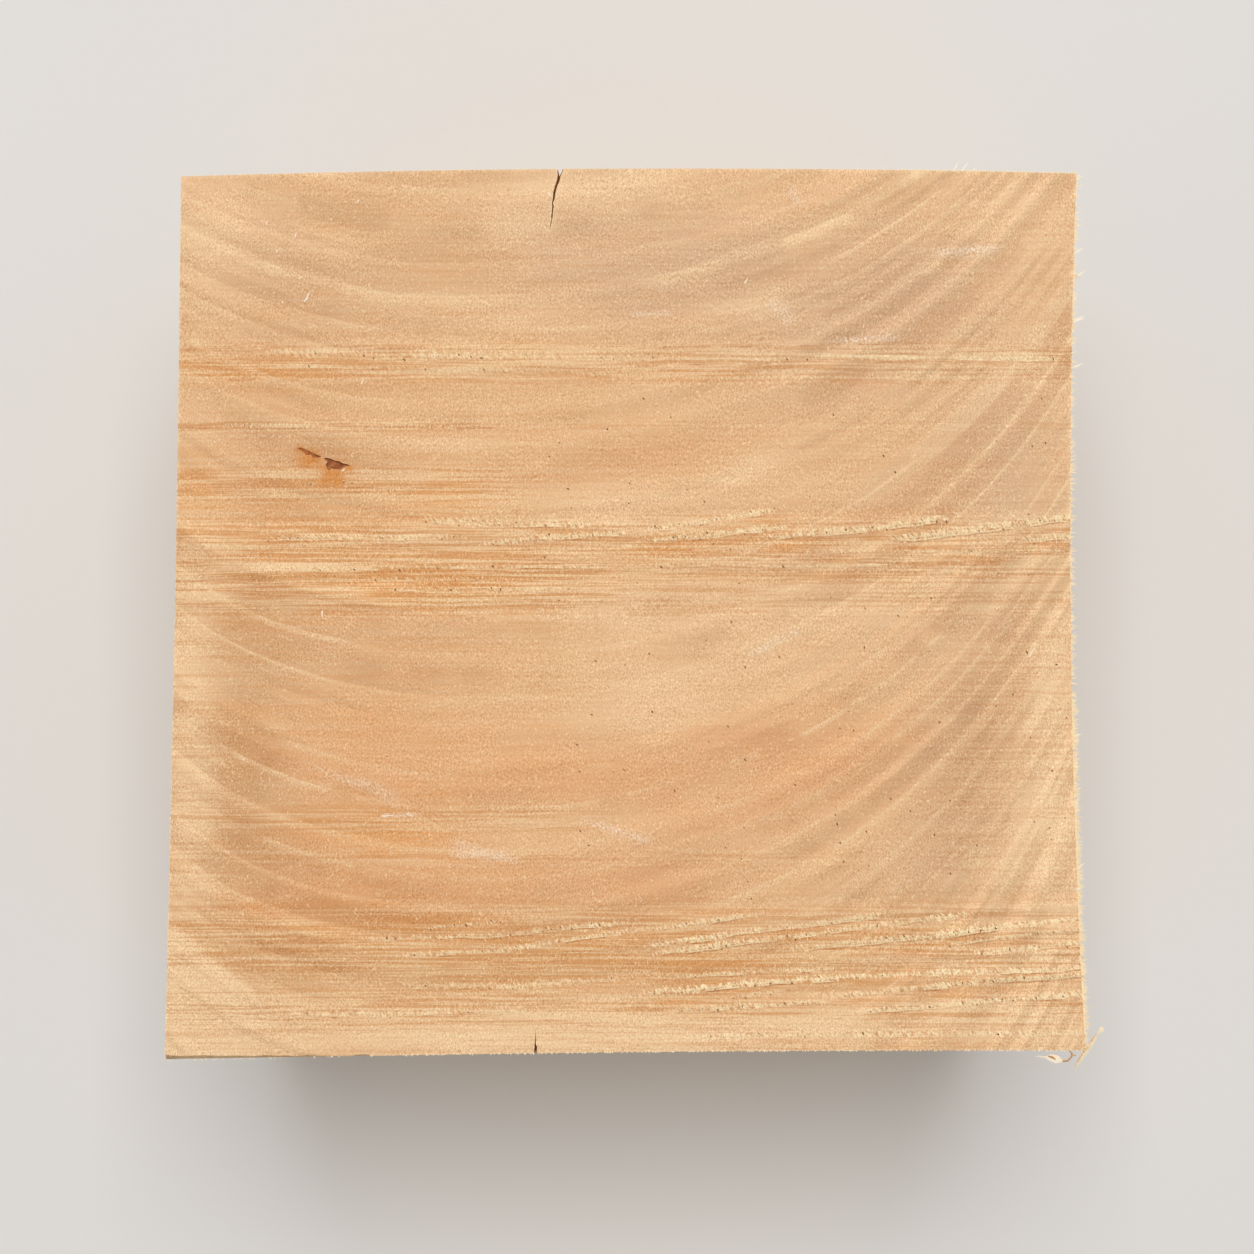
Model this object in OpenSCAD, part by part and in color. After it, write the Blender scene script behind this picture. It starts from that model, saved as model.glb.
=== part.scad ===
// Rough-sawn basswood block, one piece of wood standing on its sawn end with the grain upright.
// The origin is at the middle of the base, +X to the right, +Y to the back, +Z up the grain.

/* [Block] */
// Width across the front face, corner to corner
front_w = 101.8; // [80:0.1:140]
// Width across the back face, corner to corner
back_w = 99; // [80:0.1:140]
// Depth from the front-left corner to the crown of the back face
block_d = 98.6; // [85:0.1:140]
// Height along the grain, from the base to the sawn top
block_h = 100; // [50:0.5:200]
// Shift of the back face to the right of the front face
back_shift = 0.4; // [-4:0.1:4]
// Distance of the front-right corner behind the front-left corner
front_skew = 1.1; // [0:0.1:3]
// Distance of the back-right corner behind the back-left corner
back_skew = 0.35; // [0:0.05:1]

/* [Drying warp] */
// Outward crown of the back face
back_crown = 0.7; // [0.2:0.05:2]
// Inward hollow of the front face
front_hollow = 0.4; // [0.2:0.05:2]
// Inward hollow of the left face
left_hollow = 0.2; // [0.2:0.05:2]
// Inward hollow of the right face
right_hollow = 1.15; // [0.2:0.05:3]

/* [Saw marks] */
// Radius of the hollow that one pass of the blade leaves
kerf_r = 3; // [1:0.5:6]
// Depth of a saw mark below the sawn top
kerf_deep = 0.14; // [0.05:0.01:0.3]
// Distance of the upper band's first mark from the back face
upper_from_back = 19; // [10:0.5:24]
// Spacing of the marks in the upper band
upper_pitch = 4; // [3:0.1:6]
// Number of marks in the upper band
upper_count = 2; // [1:1:3]
// Distance of the middle band's first mark from the back face
middle_from_back = 38.4; // [34:0.1:44]
// Spacing of the marks in the middle band
middle_pitch = 3.4; // [2.5:0.1:4]
// Number of marks in the middle band
middle_count = 4; // [1:1:6]
// Distance of the lower band's first mark from the front face
lower_from_front = 14.6; // [13:0.1:20]
// Spacing of the marks in the lower band
lower_pitch = 2.5; // [2:0.1:3]
// Number of marks in the lower band
lower_count = 5; // [1:1:5]
// Turn of the middle band, rising to the right
middle_slant = 0.9; // [0:0.1:2]
// Turn of the lower band, rising to the right
lower_slant = 1.9; // [0:0.1:3]
// Length of the lower marks, from the right face to where they run out
lower_run = 84; // [40:1:95]
// Depth of the lower marks at the right face
lower_deep = 0.24; // [0.1:0.01:0.4]

/* [Drying checks] */
// Place of the back check along the back face, from its middle
back_check_x = -7.6; // [-30:0.1:30]
// Length of the back check across the top
back_check_len = 6.9; // [3:0.1:14]
// Width of the back check at its mouth
back_check_w = 0.34; // [0.2:0.01:0.8]
// Shift of the back check's tip along the face
back_check_lean = -1.15; // [-3:0.05:3]
// Depth of the back check down the grain, at the face
back_check_deep = 24; // [8:0.5:40]
// Place of the front check along the front face, from its middle
front_check_x = -10; // [-20:0.1:30]
// Length of the front check across the top
front_check_len = 2.3; // [1:0.1:4]
// Width of the front check at its mouth
front_check_w = 0.26; // [0.2:0.01:0.6]
// Shift of the front check's tip along the face
front_check_lean = 0.05; // [-1:0.05:1]
// Depth of the front check down the grain, at the face
front_check_deep = 10; // [3:0.5:20]
// Width of the chipped mouth of the back check
chip_w = 0.64; // [0.5:0.02:1.2]
// Length of the chipped mouth across the top
chip_len = 1; // [0.4:0.1:2]
// Depth of the chipped mouth
chip_deep = 1.6; // [0.5:0.1:4]

/* [Gum pocket] */
// Distance of the pocket's middle from the left face
pocket_from_left = 17; // [10:0.5:40]
// Distance of the pocket's middle from the back face
pocket_from_back = 31.8; // [27:0.1:34]
// Turn of the pocket along the growth ring, falling to the right
pocket_turn = 18; // [0:1:40]
// Length of the pocket's seam
seam_len = 6.3; // [3:0.1:10]
// Width of the pocket's seam
seam_w = 0.6; // [0.3:0.05:1]
// Length of the open hollow on the seam
hollow_len = 2.9; // [1.5:0.1:4]
// Width of the open hollow on the seam
hollow_w = 1.35; // [0.7:0.05:2]
// Distance of the open hollow past the seam's middle
hollow_along = 1.1; // [0:0.1:2]
// Distance of the open hollow to the front of the seam
hollow_across = 0.35; // [0:0.05:0.6]
// Depth of the pocket
pocket_deep = 0.7; // [0.3:0.05:2]

/* [Broken arris] */
// Length of the broken front edge, from the front-left corner
break_len = 23.5; // [8:0.5:30]
// Width lost from the top at the front-left corner
break_in = 0.6; // [0.2:0.05:1.5]
// Height lost from the front face at the front-left corner
break_drop = 1.9; // [0.5:0.1:4]

/* [Hidden] */
wood_color = [0.86, 0.69, 0.49];
// Greatest gap between a long arc and its chords
arc_gap = 0.004;
// Stock that the four curved faces are cut from, past the corners
stock_margin = 4;
// Overrun of every cut past the face that it opens
overrun = 1;
fine_fn = 96;

// Corners of the plan, with the crown of the back at half the depth
half_d = block_d / 2;
back_y = half_d - back_crown;
front_left = [-front_w / 2, -half_d];
front_right = [front_w / 2, front_skew - half_d];
back_left = [back_shift - back_w / 2, back_y - back_skew / 2];
back_right = [back_shift + back_w / 2, back_y + back_skew / 2];
front_mid = (front_left + front_right) / 2 + [0, front_hollow];
left_mid = (front_left + back_left) / 2 + [left_hollow, 0];

// Share of a check's length, lean and width at its kink
kink_at = 0.4;
kink_lean = 0.62;
kink_w = 0.55;

function bow_r(from, to, rise) = (pow(norm(to - from) / 2, 2) + rise * rise) / (2 * rise);
function left_of(from, to) = [from.y - to.y, to.x - from.x] / norm(to - from);
function arc_fn(r) = ceil(180 / acos(1 - arc_gap / r));

// Disc whose rim passes through two corners and rises to the left of the line between them
module bow_disc(from, to, rise) {
    r = bow_r(from, to, rise);
    translate((from + to) / 2 + left_of(from, to) * (rise - r))
        circle(r = r, $fn = arc_fn(r));
}

// Plan of the block: the back crowns out and the other three faces are hollow
module plan() {
    intersection() {
        bow_disc(back_left, back_right, back_crown);
        difference() {
            square([max(front_w, back_w) + 2 * stock_margin, block_d + 2 * stock_margin], center = true);
            bow_disc(front_left, front_right, front_hollow);
            bow_disc(front_right, back_right, right_hollow);
            bow_disc(back_left, front_left, left_hollow);
        }
    }
}

// One pass of the blade across the top, through a point, with its depth there and its fall
module saw_mark(at, deep, slant, fall = 0) {
    reach = 2 * max(front_w, back_w);
    translate([at.x, at.y, block_h + kerf_r - deep])
        rotate([0, 0, slant])
            rotate([0, 90 + fall, 0])
                cylinder(r = kerf_r, h = reach, center = true, $fn = fine_fn);
}

// Three bands of saw marks, the lower one running out to the left
module saw_marks() {
    for (i = [0 : upper_count - 1])
        saw_mark([0, half_d - upper_from_back - i * upper_pitch], kerf_deep, 0);
    for (i = [0 : middle_count - 1])
        saw_mark([0, half_d - middle_from_back - i * middle_pitch], kerf_deep, middle_slant);
    for (i = [0 : lower_count - 1])
        saw_mark(
            [front_right.x - lower_run, front_mid.y + lower_from_front - i * lower_pitch],
            0, lower_slant, asin(lower_deep / lower_run)
        );
}

// Split that opens at a face and closes along its length, its floor rising from the face to the tip
module check_cut(len, w, lean, deep, kink = [kink_lean, kink_w]) {
    intersection() {
        translate([0, 0, block_h - deep])
            linear_extrude(deep + overrun)
                polygon([
                    [-w / 2, overrun],
                    [-w / 2, 0],
                    [lean * kink[0] - w * kink[1] / 2, -len * kink_at],
                    [lean, -len],
                    [lean * kink[0] + w * kink[1] / 2, -len * kink_at],
                    [w / 2, 0],
                    [w / 2, overrun]
                ]);
        translate([-abs(lean) - w, 0, block_h])
            rotate([90, 0, 90])
                linear_extrude(2 * (abs(lean) + w))
                    polygon([
                        [-len * (1 + overrun / deep), overrun],
                        [overrun, -deep * (1 + overrun / len)],
                        [overrun, overrun]
                    ]);
    }
}

module drying_checks() {
    translate([back_shift + back_check_x, half_d, 0]) {
        check_cut(back_check_len, back_check_w, back_check_lean, back_check_deep);
        check_cut(chip_len, chip_w, 0, chip_deep, [0, 1 - kink_at]);
    }
    translate([front_check_x, front_mid.y, 0])
        rotate([0, 0, 180])
            check_cut(front_check_len, front_check_w, front_check_lean, front_check_deep);
}

// Pointed oval between two arcs
module lens(len, w) {
    r = bow_r([0, 0], [len, 0], w / 2);
    intersection_for(side = [-1, 1])
        translate([0, side * (r - w / 2)])
            circle(r = r, $fn = arc_fn(r));
}

// Gum pocket: a seam along the growth ring with a wider hollow on its front edge
module gum_pocket() {
    translate([left_mid.x + pocket_from_left, half_d - pocket_from_back, block_h - pocket_deep])
        rotate([0, 0, -pocket_turn])
            linear_extrude(pocket_deep + overrun)
                union() {
                    lens(seam_len, seam_w);
                    translate([hollow_along, -hollow_across])
                        lens(hollow_len, hollow_w);
                }
}

// Flake lost from the front-left arris, widest at the corner and fading along the front
module arris_break() {
    run = [break_len, -break_in];
    size = break_len + break_drop;
    translate([front_left.x, front_left.y + break_in, block_h])
        rotate([0, 0, atan2(run.y, run.x)])
            rotate([atan2(break_drop, break_in), 0, 0])
                translate([-size / 2, -size, 0])
                    cube([2 * size, 2 * size, size]);
}

module block() {
    color(wood_color)
        difference() {
            linear_extrude(block_h)
                plan();
            saw_marks();
            drying_checks();
            gum_pocket();
            arris_break();
        }
}

block();
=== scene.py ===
import math

import bmesh
import bpy
import numpy as np
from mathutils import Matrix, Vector


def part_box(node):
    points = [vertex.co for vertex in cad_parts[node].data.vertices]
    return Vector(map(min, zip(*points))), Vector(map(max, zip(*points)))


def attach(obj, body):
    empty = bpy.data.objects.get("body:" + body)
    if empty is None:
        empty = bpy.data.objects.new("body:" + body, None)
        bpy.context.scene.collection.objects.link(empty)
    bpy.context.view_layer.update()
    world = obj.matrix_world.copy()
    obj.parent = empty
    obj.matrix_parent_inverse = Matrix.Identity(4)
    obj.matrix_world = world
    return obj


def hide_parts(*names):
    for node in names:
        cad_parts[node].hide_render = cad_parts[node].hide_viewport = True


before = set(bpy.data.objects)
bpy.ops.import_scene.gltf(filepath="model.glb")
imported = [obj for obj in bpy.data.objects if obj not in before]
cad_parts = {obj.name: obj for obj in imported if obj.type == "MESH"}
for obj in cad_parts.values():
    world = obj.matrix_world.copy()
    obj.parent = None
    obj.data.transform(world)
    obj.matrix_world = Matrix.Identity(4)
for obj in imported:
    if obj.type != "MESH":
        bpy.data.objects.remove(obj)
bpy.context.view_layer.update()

mm = 0.001  # lengths below are in millimetres
scene = bpy.context.scene
scene.view_settings.view_transform = "Standard"


def srgb(red, green, blue):
    def flat(value):
        share = value / 255
        return share / 12.92 if share <= 0.04045 else ((share + 0.055) / 1.055) ** 2.4
    return (flat(red), flat(green), flat(blue), 1.0)


def smoothStep(low, high, values):
    share = np.clip((values - low) / (high - low), 0, 1)
    return share * share * (3 - 2 * share)


def latticeNoise(x, y, seed):
    # smooth noise from 0 to 1, one cell to a unit
    table = np.random.default_rng(seed).random((256, 256))
    cellX, cellY = np.floor(x).astype(int), np.floor(y).astype(int)
    shareX, shareY = x - cellX, y - cellY
    shareX = shareX * shareX * (3 - 2 * shareX)
    shareY = shareY * shareY * (3 - 2 * shareY)
    west, east = cellX % 256, (cellX + 1) % 256
    south, north = cellY % 256, (cellY + 1) % 256
    low = table[west, south] * (1 - shareX) + table[east, south] * shareX
    high = table[west, north] * (1 - shareX) + table[east, north] * shareX
    return low * (1 - shareY) + high * shareY


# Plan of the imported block, read from its base
baseLow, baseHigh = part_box("block")
blockHeight = (baseHigh.z - baseLow.z) / mm
halfDeep = (baseHigh.y - baseLow.y) / mm / 2
packedPoints = np.array([v.co[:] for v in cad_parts["block"].data.vertices]) / mm
basePoints = packedPoints[packedPoints[:, 2] < 0.01][:, :2]
frontLeft = basePoints[np.argmin(basePoints[:, 0] + basePoints[:, 1])]
frontRight = basePoints[np.argmax(basePoints[:, 0] - basePoints[:, 1])]
backRight = basePoints[np.argmax(basePoints[:, 0] + basePoints[:, 1])]
backLeft = basePoints[np.argmin(basePoints[:, 0] - basePoints[:, 1])]
sides = {
    "front": (frontLeft, frontRight), "right": (frontRight, backRight),
    "back": (backRight, backLeft), "left": (backLeft, frontLeft),
}


def sideWays(start, end):
    # length, direction and inward normal of a side
    length = np.linalg.norm(end - start)
    along = (end - start) / length
    return length, along, np.array([-along[1], along[0]])


def bowOf(start, end):
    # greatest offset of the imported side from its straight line, inwards
    length, along, inward = sideWays(start, end)
    offsets = basePoints - start
    share, depth = offsets @ along / length, offsets @ inward
    near = (np.abs(depth) < 3) & (share > 0.1) & (share < 0.9)
    return depth[near][np.argmax(np.abs(depth[near]))]


bows = {name: bowOf(*ends) for name, ends in sides.items()}


def sideLine(name, share):
    start, end = sides[name]
    inward = sideWays(start, end)[2]
    bow = bows[name] * (1 - (2 * share - 1) ** 2)
    return start + np.outer(share, end - start) + np.outer(bow, inward)


def rimDistance(points):
    # distance of points from the nearest side
    nearest = np.full(len(points), 1e9)
    for name, (start, end) in sides.items():
        length, along, inward = sideWays(start, end)
        offsets = points - start
        share = np.clip(offsets @ along / length, 0, 1)
        depth = offsets @ inward - bows[name] * (1 - (2 * share - 1) ** 2)
        nearest = np.minimum(nearest, depth)
    return nearest


frontMiddle = sideLine("front", np.array([0.5]))[0][1]

# Saw marks as they are in the solid, with distances from the back or the front face
sawMarks = {
    "radius": 3.0, "deep": 0.14,
    "upper": {"fromBack": 19.0, "pitch": 4.0, "count": 2, "slant": 0.0},
    "middle": {"fromBack": 38.4, "pitch": 3.4, "count": 4, "slant": 0.9},
    "lower": {"fromFront": 14.6, "pitch": 2.5, "count": 5, "slant": 1.9, "run": 84.0, "deep": 0.24},
}


def sawnDepth(x, y):
    depth = np.zeros_like(x)
    radius = sawMarks["radius"]
    for name in ("upper", "middle", "lower"):
        band = sawMarks[name]
        slope = math.tan(math.radians(band["slant"]))
        for i in range(band["count"]):
            if name == "lower":
                startX = frontRight[0] - band["run"]
                line = frontMiddle + band["fromFront"] - i * band["pitch"] + slope * (x - startX)
                deep = band["deep"] * np.maximum(x - startX, 0) / band["run"]
            else:
                line = halfDeep - band["fromBack"] - i * band["pitch"] + slope * x
                deep = sawMarks["deep"]
            away = np.minimum(np.abs(y - line), radius)
            depth = np.maximum(depth, deep - radius + np.sqrt(radius ** 2 - away ** 2))
    return depth


# Torn ridges that the blade left, from left to right: points along each, how torn, and half its width
tornRidges = {
    "trough": 0.12, "rise": 0.07, "sink": 0.08,
    "lines": [
        ([(-40.5, 29.0), (-7.2, 28.5)], 0.32, 0.50),
        ([(-9.0, 28.5), (49.7, 28.3)], 0.14, 0.34),
        ([(-38.5, 27.6), (0.0, 26.6)], 0.25, 0.30),
        ([(-2.0, 26.0), (38.0, 26.4)], 0.12, 0.26),
        ([(1.6, 9.3), (17.5, 11.7)], 0.70, 0.36),
        ([(1.6, 8.1), (19.4, 9.9)], 0.80, 0.40),
        ([(14.3, 8.4), (27.9, 9.6), (36.8, 10.9)], 0.80, 0.40),
        ([(28.6, 8.2), (48.9, 10.7)], 0.95, 0.42),
        ([(41.3, 8.0), (49.0, 8.8)], 0.80, 0.36),
        ([(18.4, 6.9), (49.2, 7.2)], 0.30, 0.20),
        ([(1.6, 5.5), (30.1, 5.4)], 0.30, 0.18),
        ([(-40.6, 8.5), (-17.6, 8.6)], 0.55, 0.34),
        ([(-16.6, 7.8), (1.6, 9.3)], 0.60, 0.34),
        ([(-23.3, 10.5), (-2.7, 9.8)], 0.65, 0.40),
        ([(-39.9, 5.0), (-0.7, 5.4)], 0.35, 0.20),
        ([(-30.4, 3.9), (-13.2, 3.9)], 0.35, 0.24),
        ([(-27.8, 2.7), (-2.4, 2.7)], 0.40, 0.24),
        ([(1.6, -35.0), (15.5, -32.9)], 0.70, 0.26),
        ([(1.6, -36.7), (14.9, -34.8), (30.1, -33.1)], 0.90, 0.32),
        ([(1.6, -37.6), (20.2, -35.3), (39.1, -33.0)], 0.90, 0.32),
        ([(16.5, -37.1), (34.8, -35.3), (50.0, -33.5)], 1.00, 0.36),
        ([(34.8, -36.5), (50.3, -34.8)], 0.60, 0.22),
        ([(37.4, -37.5), (50.3, -36.4)], 0.70, 0.36),
        ([(1.6, -40.1), (24.8, -39.0)], 0.70, 0.28),
        ([(1.6, -41.9), (18.9, -40.3), (50.6, -39.0)], 0.90, 0.36),
        ([(10.2, -42.6), (20.2, -41.1)], 0.60, 0.26),
        ([(22.8, -42.1), (34.8, -41.0), (50.6, -39.8)], 0.90, 0.32),
        ([(3.6, -43.9), (23.2, -42.7)], 0.60, 0.28),
        ([(24.8, -43.9), (50.3, -41.9)], 0.70, 0.32),
        ([(5.9, -46.6), (50.2, -46.2)], 0.50, 0.34),
        ([(-22.7, -34.8), (-12.5, -33.7)], 0.40, 0.22),
        ([(-30.4, -36.0), (-14.2, -35.4), (1.6, -33.9)], 0.60, 0.28),
        ([(-25.7, -37.8), (-13.2, -37.0), (1.6, -34.9)], 0.60, 0.28),
        ([(-25.7, -41.0), (-11.5, -41.0), (1.6, -40.1)], 0.50, 0.40),
        ([(-39.6, -44.2), (-21.0, -43.9), (-9.1, -43.7)], 0.35, 0.40),
    ],
}

# Thin lines that the blade left, sunk a little and darkened with painted shade: start, end, strength
cutLines = [
    ((0.0, 29.4), (38.0, 30.0), 0.6), ((-1.0, 27.4), (22.0, 27.9), 0.6),
    ((20.0, 28.6), (49.0, 28.2), 0.5), ((-29.2, 29.4), (-19.4, 29.4), 0.7),
    ((-50.0, 26.0), (-28.0, 25.6), 0.6), ((-50.0, 20.5), (-12.0, 20.6), 0.6),
    ((-43.0, 14.2), (-18.0, 14.0), 0.6), ((-38.0, 13.3), (-20.0, 13.4), 0.5),
    ((23.7, -26.2), (40.3, -26.4), 0.6), ((26.0, 5.6), (49.0, 5.9), 0.5),
    ((30.0, 4.4), (49.0, 4.6), 0.5),
]


def ridgeOffset(x, y, points):
    # distance behind a torn ridge, and how far inside its ends
    xs, ys = [p[0] for p in points], [p[1] for p in points]
    wander = 0.25 * (latticeNoise(x * 0.15, x * 0 + xs[0], 11) - 0.5)
    wander = wander + 0.12 * (latticeNoise(x * 0.9, x * 0 + ys[0], 12) - 0.5)
    inside = smoothStep(xs[0] - 1.5, xs[0] + 3, x)
    if xs[-1] < 48:
        inside = inside * (1 - smoothStep(xs[-1] - 3, xs[-1] + 1.5, x))
    return y - np.interp(x, xs, ys) - wander, inside


def tornFields(x, y):
    # distance from the nearest ridge in half widths, and from the line of painted shade before it in mm,
    # then how torn the face is and how much painted shade falls before the ridge
    ridgeFar, lineFar = np.full_like(x, 3.0), np.full_like(x, 3.0)
    level, shade = np.zeros_like(x), np.zeros_like(x)
    for points, strength, half in tornRidges["lines"]:
        away, inside = ridgeOffset(x, y, points)
        patchy = 0.45 + 0.9 * latticeNoise(x * 0.25, x * 0 + points[0][1], 13)
        torn = np.clip(strength * patchy, 0, 1)
        breadth = half * (0.65 + 0.6 * latticeNoise(x * 0.4, x * 0 + points[0][1], 15))
        far = np.abs(away) / breadth + 2 * (1 - inside)
        level = np.where(far < ridgeFar, torn, level)
        ridgeFar = np.minimum(ridgeFar, far)
        broken = smoothStep(0.25, 0.6, latticeNoise(x * 0.5, x * 0 + points[0][1], 14))
        lineFar = np.minimum(lineFar, np.abs(away + breadth + 0.08) + 0.5 * (1 - inside * broken))
        # painted shade on the slope in front of each ridge
        shade = np.maximum(shade, torn * inside * np.exp(-((away + half + 0.7) / 0.6) ** 2))
    for (startX, startY), (endX, endY), strength in cutLines:
        line = np.interp(x, (startX, endX), (startY, endY))
        line = line + 0.2 * (latticeNoise(x * 0.2, x * 0 + startY, 16) - 0.5)
        drawn = smoothStep(startX - 1, startX + 2, x) * (1 - smoothStep(endX - 3, endX + 1, x))
        drawn = drawn * smoothStep(0.2, 0.5, latticeNoise(x * 0.4, x * 0 + startY, 17))
        far = np.abs(y - line) + 0.5 * (1 - drawn)
        level = np.where(far < 0.3, np.maximum(level, strength), level)
        lineFar = np.minimum(lineFar, far)
    return ridgeFar, lineFar, level, shade


# Rows that the blade scored with fine lines: middle, half width, from, to, strength
scoredRows = [
    (27.8, 2.3, -60, 60, 0.8), (20.9, 0.7, -60, -12, 0.9), (20.9, 0.5, -60, 60, 0.4),
    (14.4, 2.2, -60, -8, 0.8), (7.0, 4.2, -60, 60, 0.9), (3.6, 4.0, -60, 4, 1.0),
    (2.0, 3.0, -60, 60, 0.5), (-22.6, 1.6, -60, 0, 0.7), (-27.0, 1.0, -60, 30, 0.5),
    (-36.5, 5.0, -60, 60, 0.8), (-43.5, 2.5, -60, 60, 0.8), (-46.5, 2.5, -60, 60, 0.45),
    (-20.0, 30.0, -60, -40, 0.5), (-10.0, 26.0, 34, 60, 0.35), (39.0, 9.0, -60, 60, 0.2),
    (-10.0, 16.0, -60, 60, 0.15), (17.0, 6.0, -60, 60, 0.2),
]


def scored(x, y):
    rows = np.zeros_like(x)
    for middle, half, start, end, strength in scoredRows:
        inside = smoothStep(start - 6, start + 6, x) * (1 - smoothStep(end - 12, end + 6, x))
        rows = np.maximum(rows, strength * np.exp(-((y - middle) / half) ** 4) * inside)
    return rows


def topHeight(x, y):
    # height of the sawn face over the flat top
    ridgeFar, lineFar, level, _ = tornFields(x, y)
    crest = level * (1 - smoothStep(0.5, 1.4, ridgeFar))
    trough = level * np.exp(-(lineFar / tornRidges["trough"]) ** 2)
    ragged = 0.6 + 0.8 * latticeNoise(x * 1.9, y * 1.9, 21)
    height = -sawnDepth(x, y) + tornRidges["rise"] * crest * ragged - tornRidges["sink"] * trough
    lines = latticeNoise(x * 0.05, y * 1.7, 22) + 0.5 * latticeNoise(x * 0.11, y * 3.4, 23) - 0.75
    felt = latticeNoise(x * 1.6, y * 1.4, 24) - 0.5
    return height + 0.06 * scored(x, y) * lines + 0.02 * felt


# Broad zones of tone: middle x and y, half width and depth, turn in degrees, strength
toneZones = {
    "grey": [
        (0, 39, 24, 7, 0, 0.9), (-32, 36, 18, 8, -10, 0.4), (28, 33, 16, 8, 20, 0.7),
        (42, 15, 7, 12, 0, 0.7), (-41, -15, 5, 17, 0, 0.6), (-36, -3, 12, 4, -10, 0.5),
        (38, -14, 5, 18, -12, 0.9), (-38, 18, 9, 4, 0, 0.4),
    ],
    "warm": [
        (0, -18, 32, 6, 3, 0.7), (18, -15, 16, 5, 12, 0.45), (-25, -14, 16, 5, 0, 0.5),
        (-20, -30, 24, 4, 0, 0.6), (4, -29, 12, 4, 0, 0.4), (3, 18, 14, 4, 10, 0.4),
        (22, 10, 12, 2, 8, 0.3), (-35, -33, 14, 3, 0, 0.5),
    ],
    "pale": [
        (-48, -18, 3, 26, 0, 0.8), (-47, -44, 10, 6, 0, 0.95), (0, -46.6, 56, 3.4, 0, 1.0),
        (47.5, -20, 4.0, 24, -3, 1.0), (46, -43, 12, 8, 0, 1.0), (0, 28, 30, 1.2, 0, 0.25),
        (-12, 9.5, 14, 1.0, 3, 0.6), (38, 9.2, 14, 1.4, 3, 0.6), (14, 34, 6, 1.6, 10, 0.8),
        (13, 16, 5, 1.5, 20, 0.8), (2, -8, 15, 5, 4, 0.6), (18, 0, 14, 4, 14, 0.55),
        (-3, 46.5, 12, 2.6, 0, 0.8), (-12, -42.5, 10, 1.2, 0, 0.6), (-46, 42, 6, 8, 0, 0.6),
        (43, 45, 8, 6, 0, 0.6), (44, 28, 6, 6, 0, 0.5), (-8.6, -47.6, 1.3, 1.2, 0, 0.9),
        (-2, 12.3, 13, 2, 4, 0.55), (-20, 18.8, 8, 2, -4, 0.4), (0, 0, 10, 3, 4, 0.5),
        (-12.5, 32.4, 6, 1.2, 0, 0.6), (-12, 43, 5, 2.5, 0, 0.5), (46.5, -8, 2, 8, -10, 1.0),
        (44, -26, 2.5, 7, -30, 0.8),
    ],
    "orange": [
        (-42, 26.8, 13, 1.4, 0, 0.9), (-48, 12.5, 4, 4, 0, 0.9), (-22, 3.5, 14, 3.0, 0, 1.0),
        (-20, 12.5, 5, 2.4, 0, 1.0), (-38, 8.5, 12, 2.5, 0, 0.5), (4, 7.5, 5, 1.5, 10, 0.7),
        (-28, -24, 10, 3.5, 0, 0.9), (-25, 28.2, 16, 1.0, 0, 0.5),
        (8, 26.8, 10, 1, 0, 0.6), (-25, 27, 9, 1, 0, 0.7), (-30, -34.5, 12, 1, 0, 0.6),
        (26, -40.5, 8, 1.2, 4, 0.6), (-28, 0, 26, 44, 0, 0.35), (0, -40, 40, 7, 0, 0.35),
        (26, -47.9, 9, 0.8, 0, 0.9), (43, -47.4, 4, 0.8, 0, 0.5), (24, -36.2, 8, 0.7, 5, 0.8),
        (12, -38.6, 12, 0.8, 4, 0.7), (38, -40.4, 6, 0.6, 4, 0.7), (40, -35.4, 7, 0.5, 5, 0.6),
    ],
    "umber": [
        (-4, -36.8, 36, 3.2, 2, 0.7), (-2, -39.4, 27, 1.5, 2, 0.8), (18, -37.6, 13, 1.5, 3, 0.85),
        (-20, -32, 22, 3, 0, 0.45), (-39, -38.5, 6, 4, -39, 0.6), (38, -16, 4, 16, -15, 0.45),
        (-40.5, 7.0, 4.5, 0.5, -6, 0.8), (-42.5, 4.3, 3.2, 0.6, -12, 0.8),
        (0, -34.6, 9, 1.0, 2, 0.6), (-34, -33, 14, 2, 0, 0.4), (-42, -16, 5, 15, 0, 0.75),
        (-38, -3, 9, 3.5, -10, 0.4), (-38, 25.3, 11, 0.9, 0, 0.8), (-36, 17, 8, 5, -20, 0.4),
        (18, -40.8, 18, 1.8, 3, 0.7), (-20, 39, 9, 2, 0, 0.5), (-39, -26, 11, 6, 0, 0.4),
        (-35, 13, 8, 2, 0, 0.4),
    ],
}


def zoneMask(x, y, zones, seed):
    ragged = 0.5 * (latticeNoise(x * 0.10, y * 0.25, seed) - 0.5)
    ragged = ragged + 0.4 * (latticeNoise(x * 0.25, y * 0.8, seed + 1) - 0.5)
    clear = np.ones_like(x)
    for middleX, middleY, halfX, halfY, turn, strength in zones:
        angle = math.radians(turn)
        along = (x - middleX) * math.cos(angle) + (y - middleY) * math.sin(angle)
        across = (y - middleY) * math.cos(angle) - (x - middleX) * math.sin(angle)
        far = np.maximum(np.sqrt((along / halfX) ** 2 + (across / halfY) ** 2) + ragged, 0)
        clear = clear * (1 - strength * np.exp(-1.2 * far ** 2))
    return 1 - clear


# Pale wood beyond a ring edge across the front-left corner
paleCorner = {"start": (-51.0, -33.8), "end": (-36.8, -45.2), "soft": 0.3, "strength": 0.95}


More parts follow.
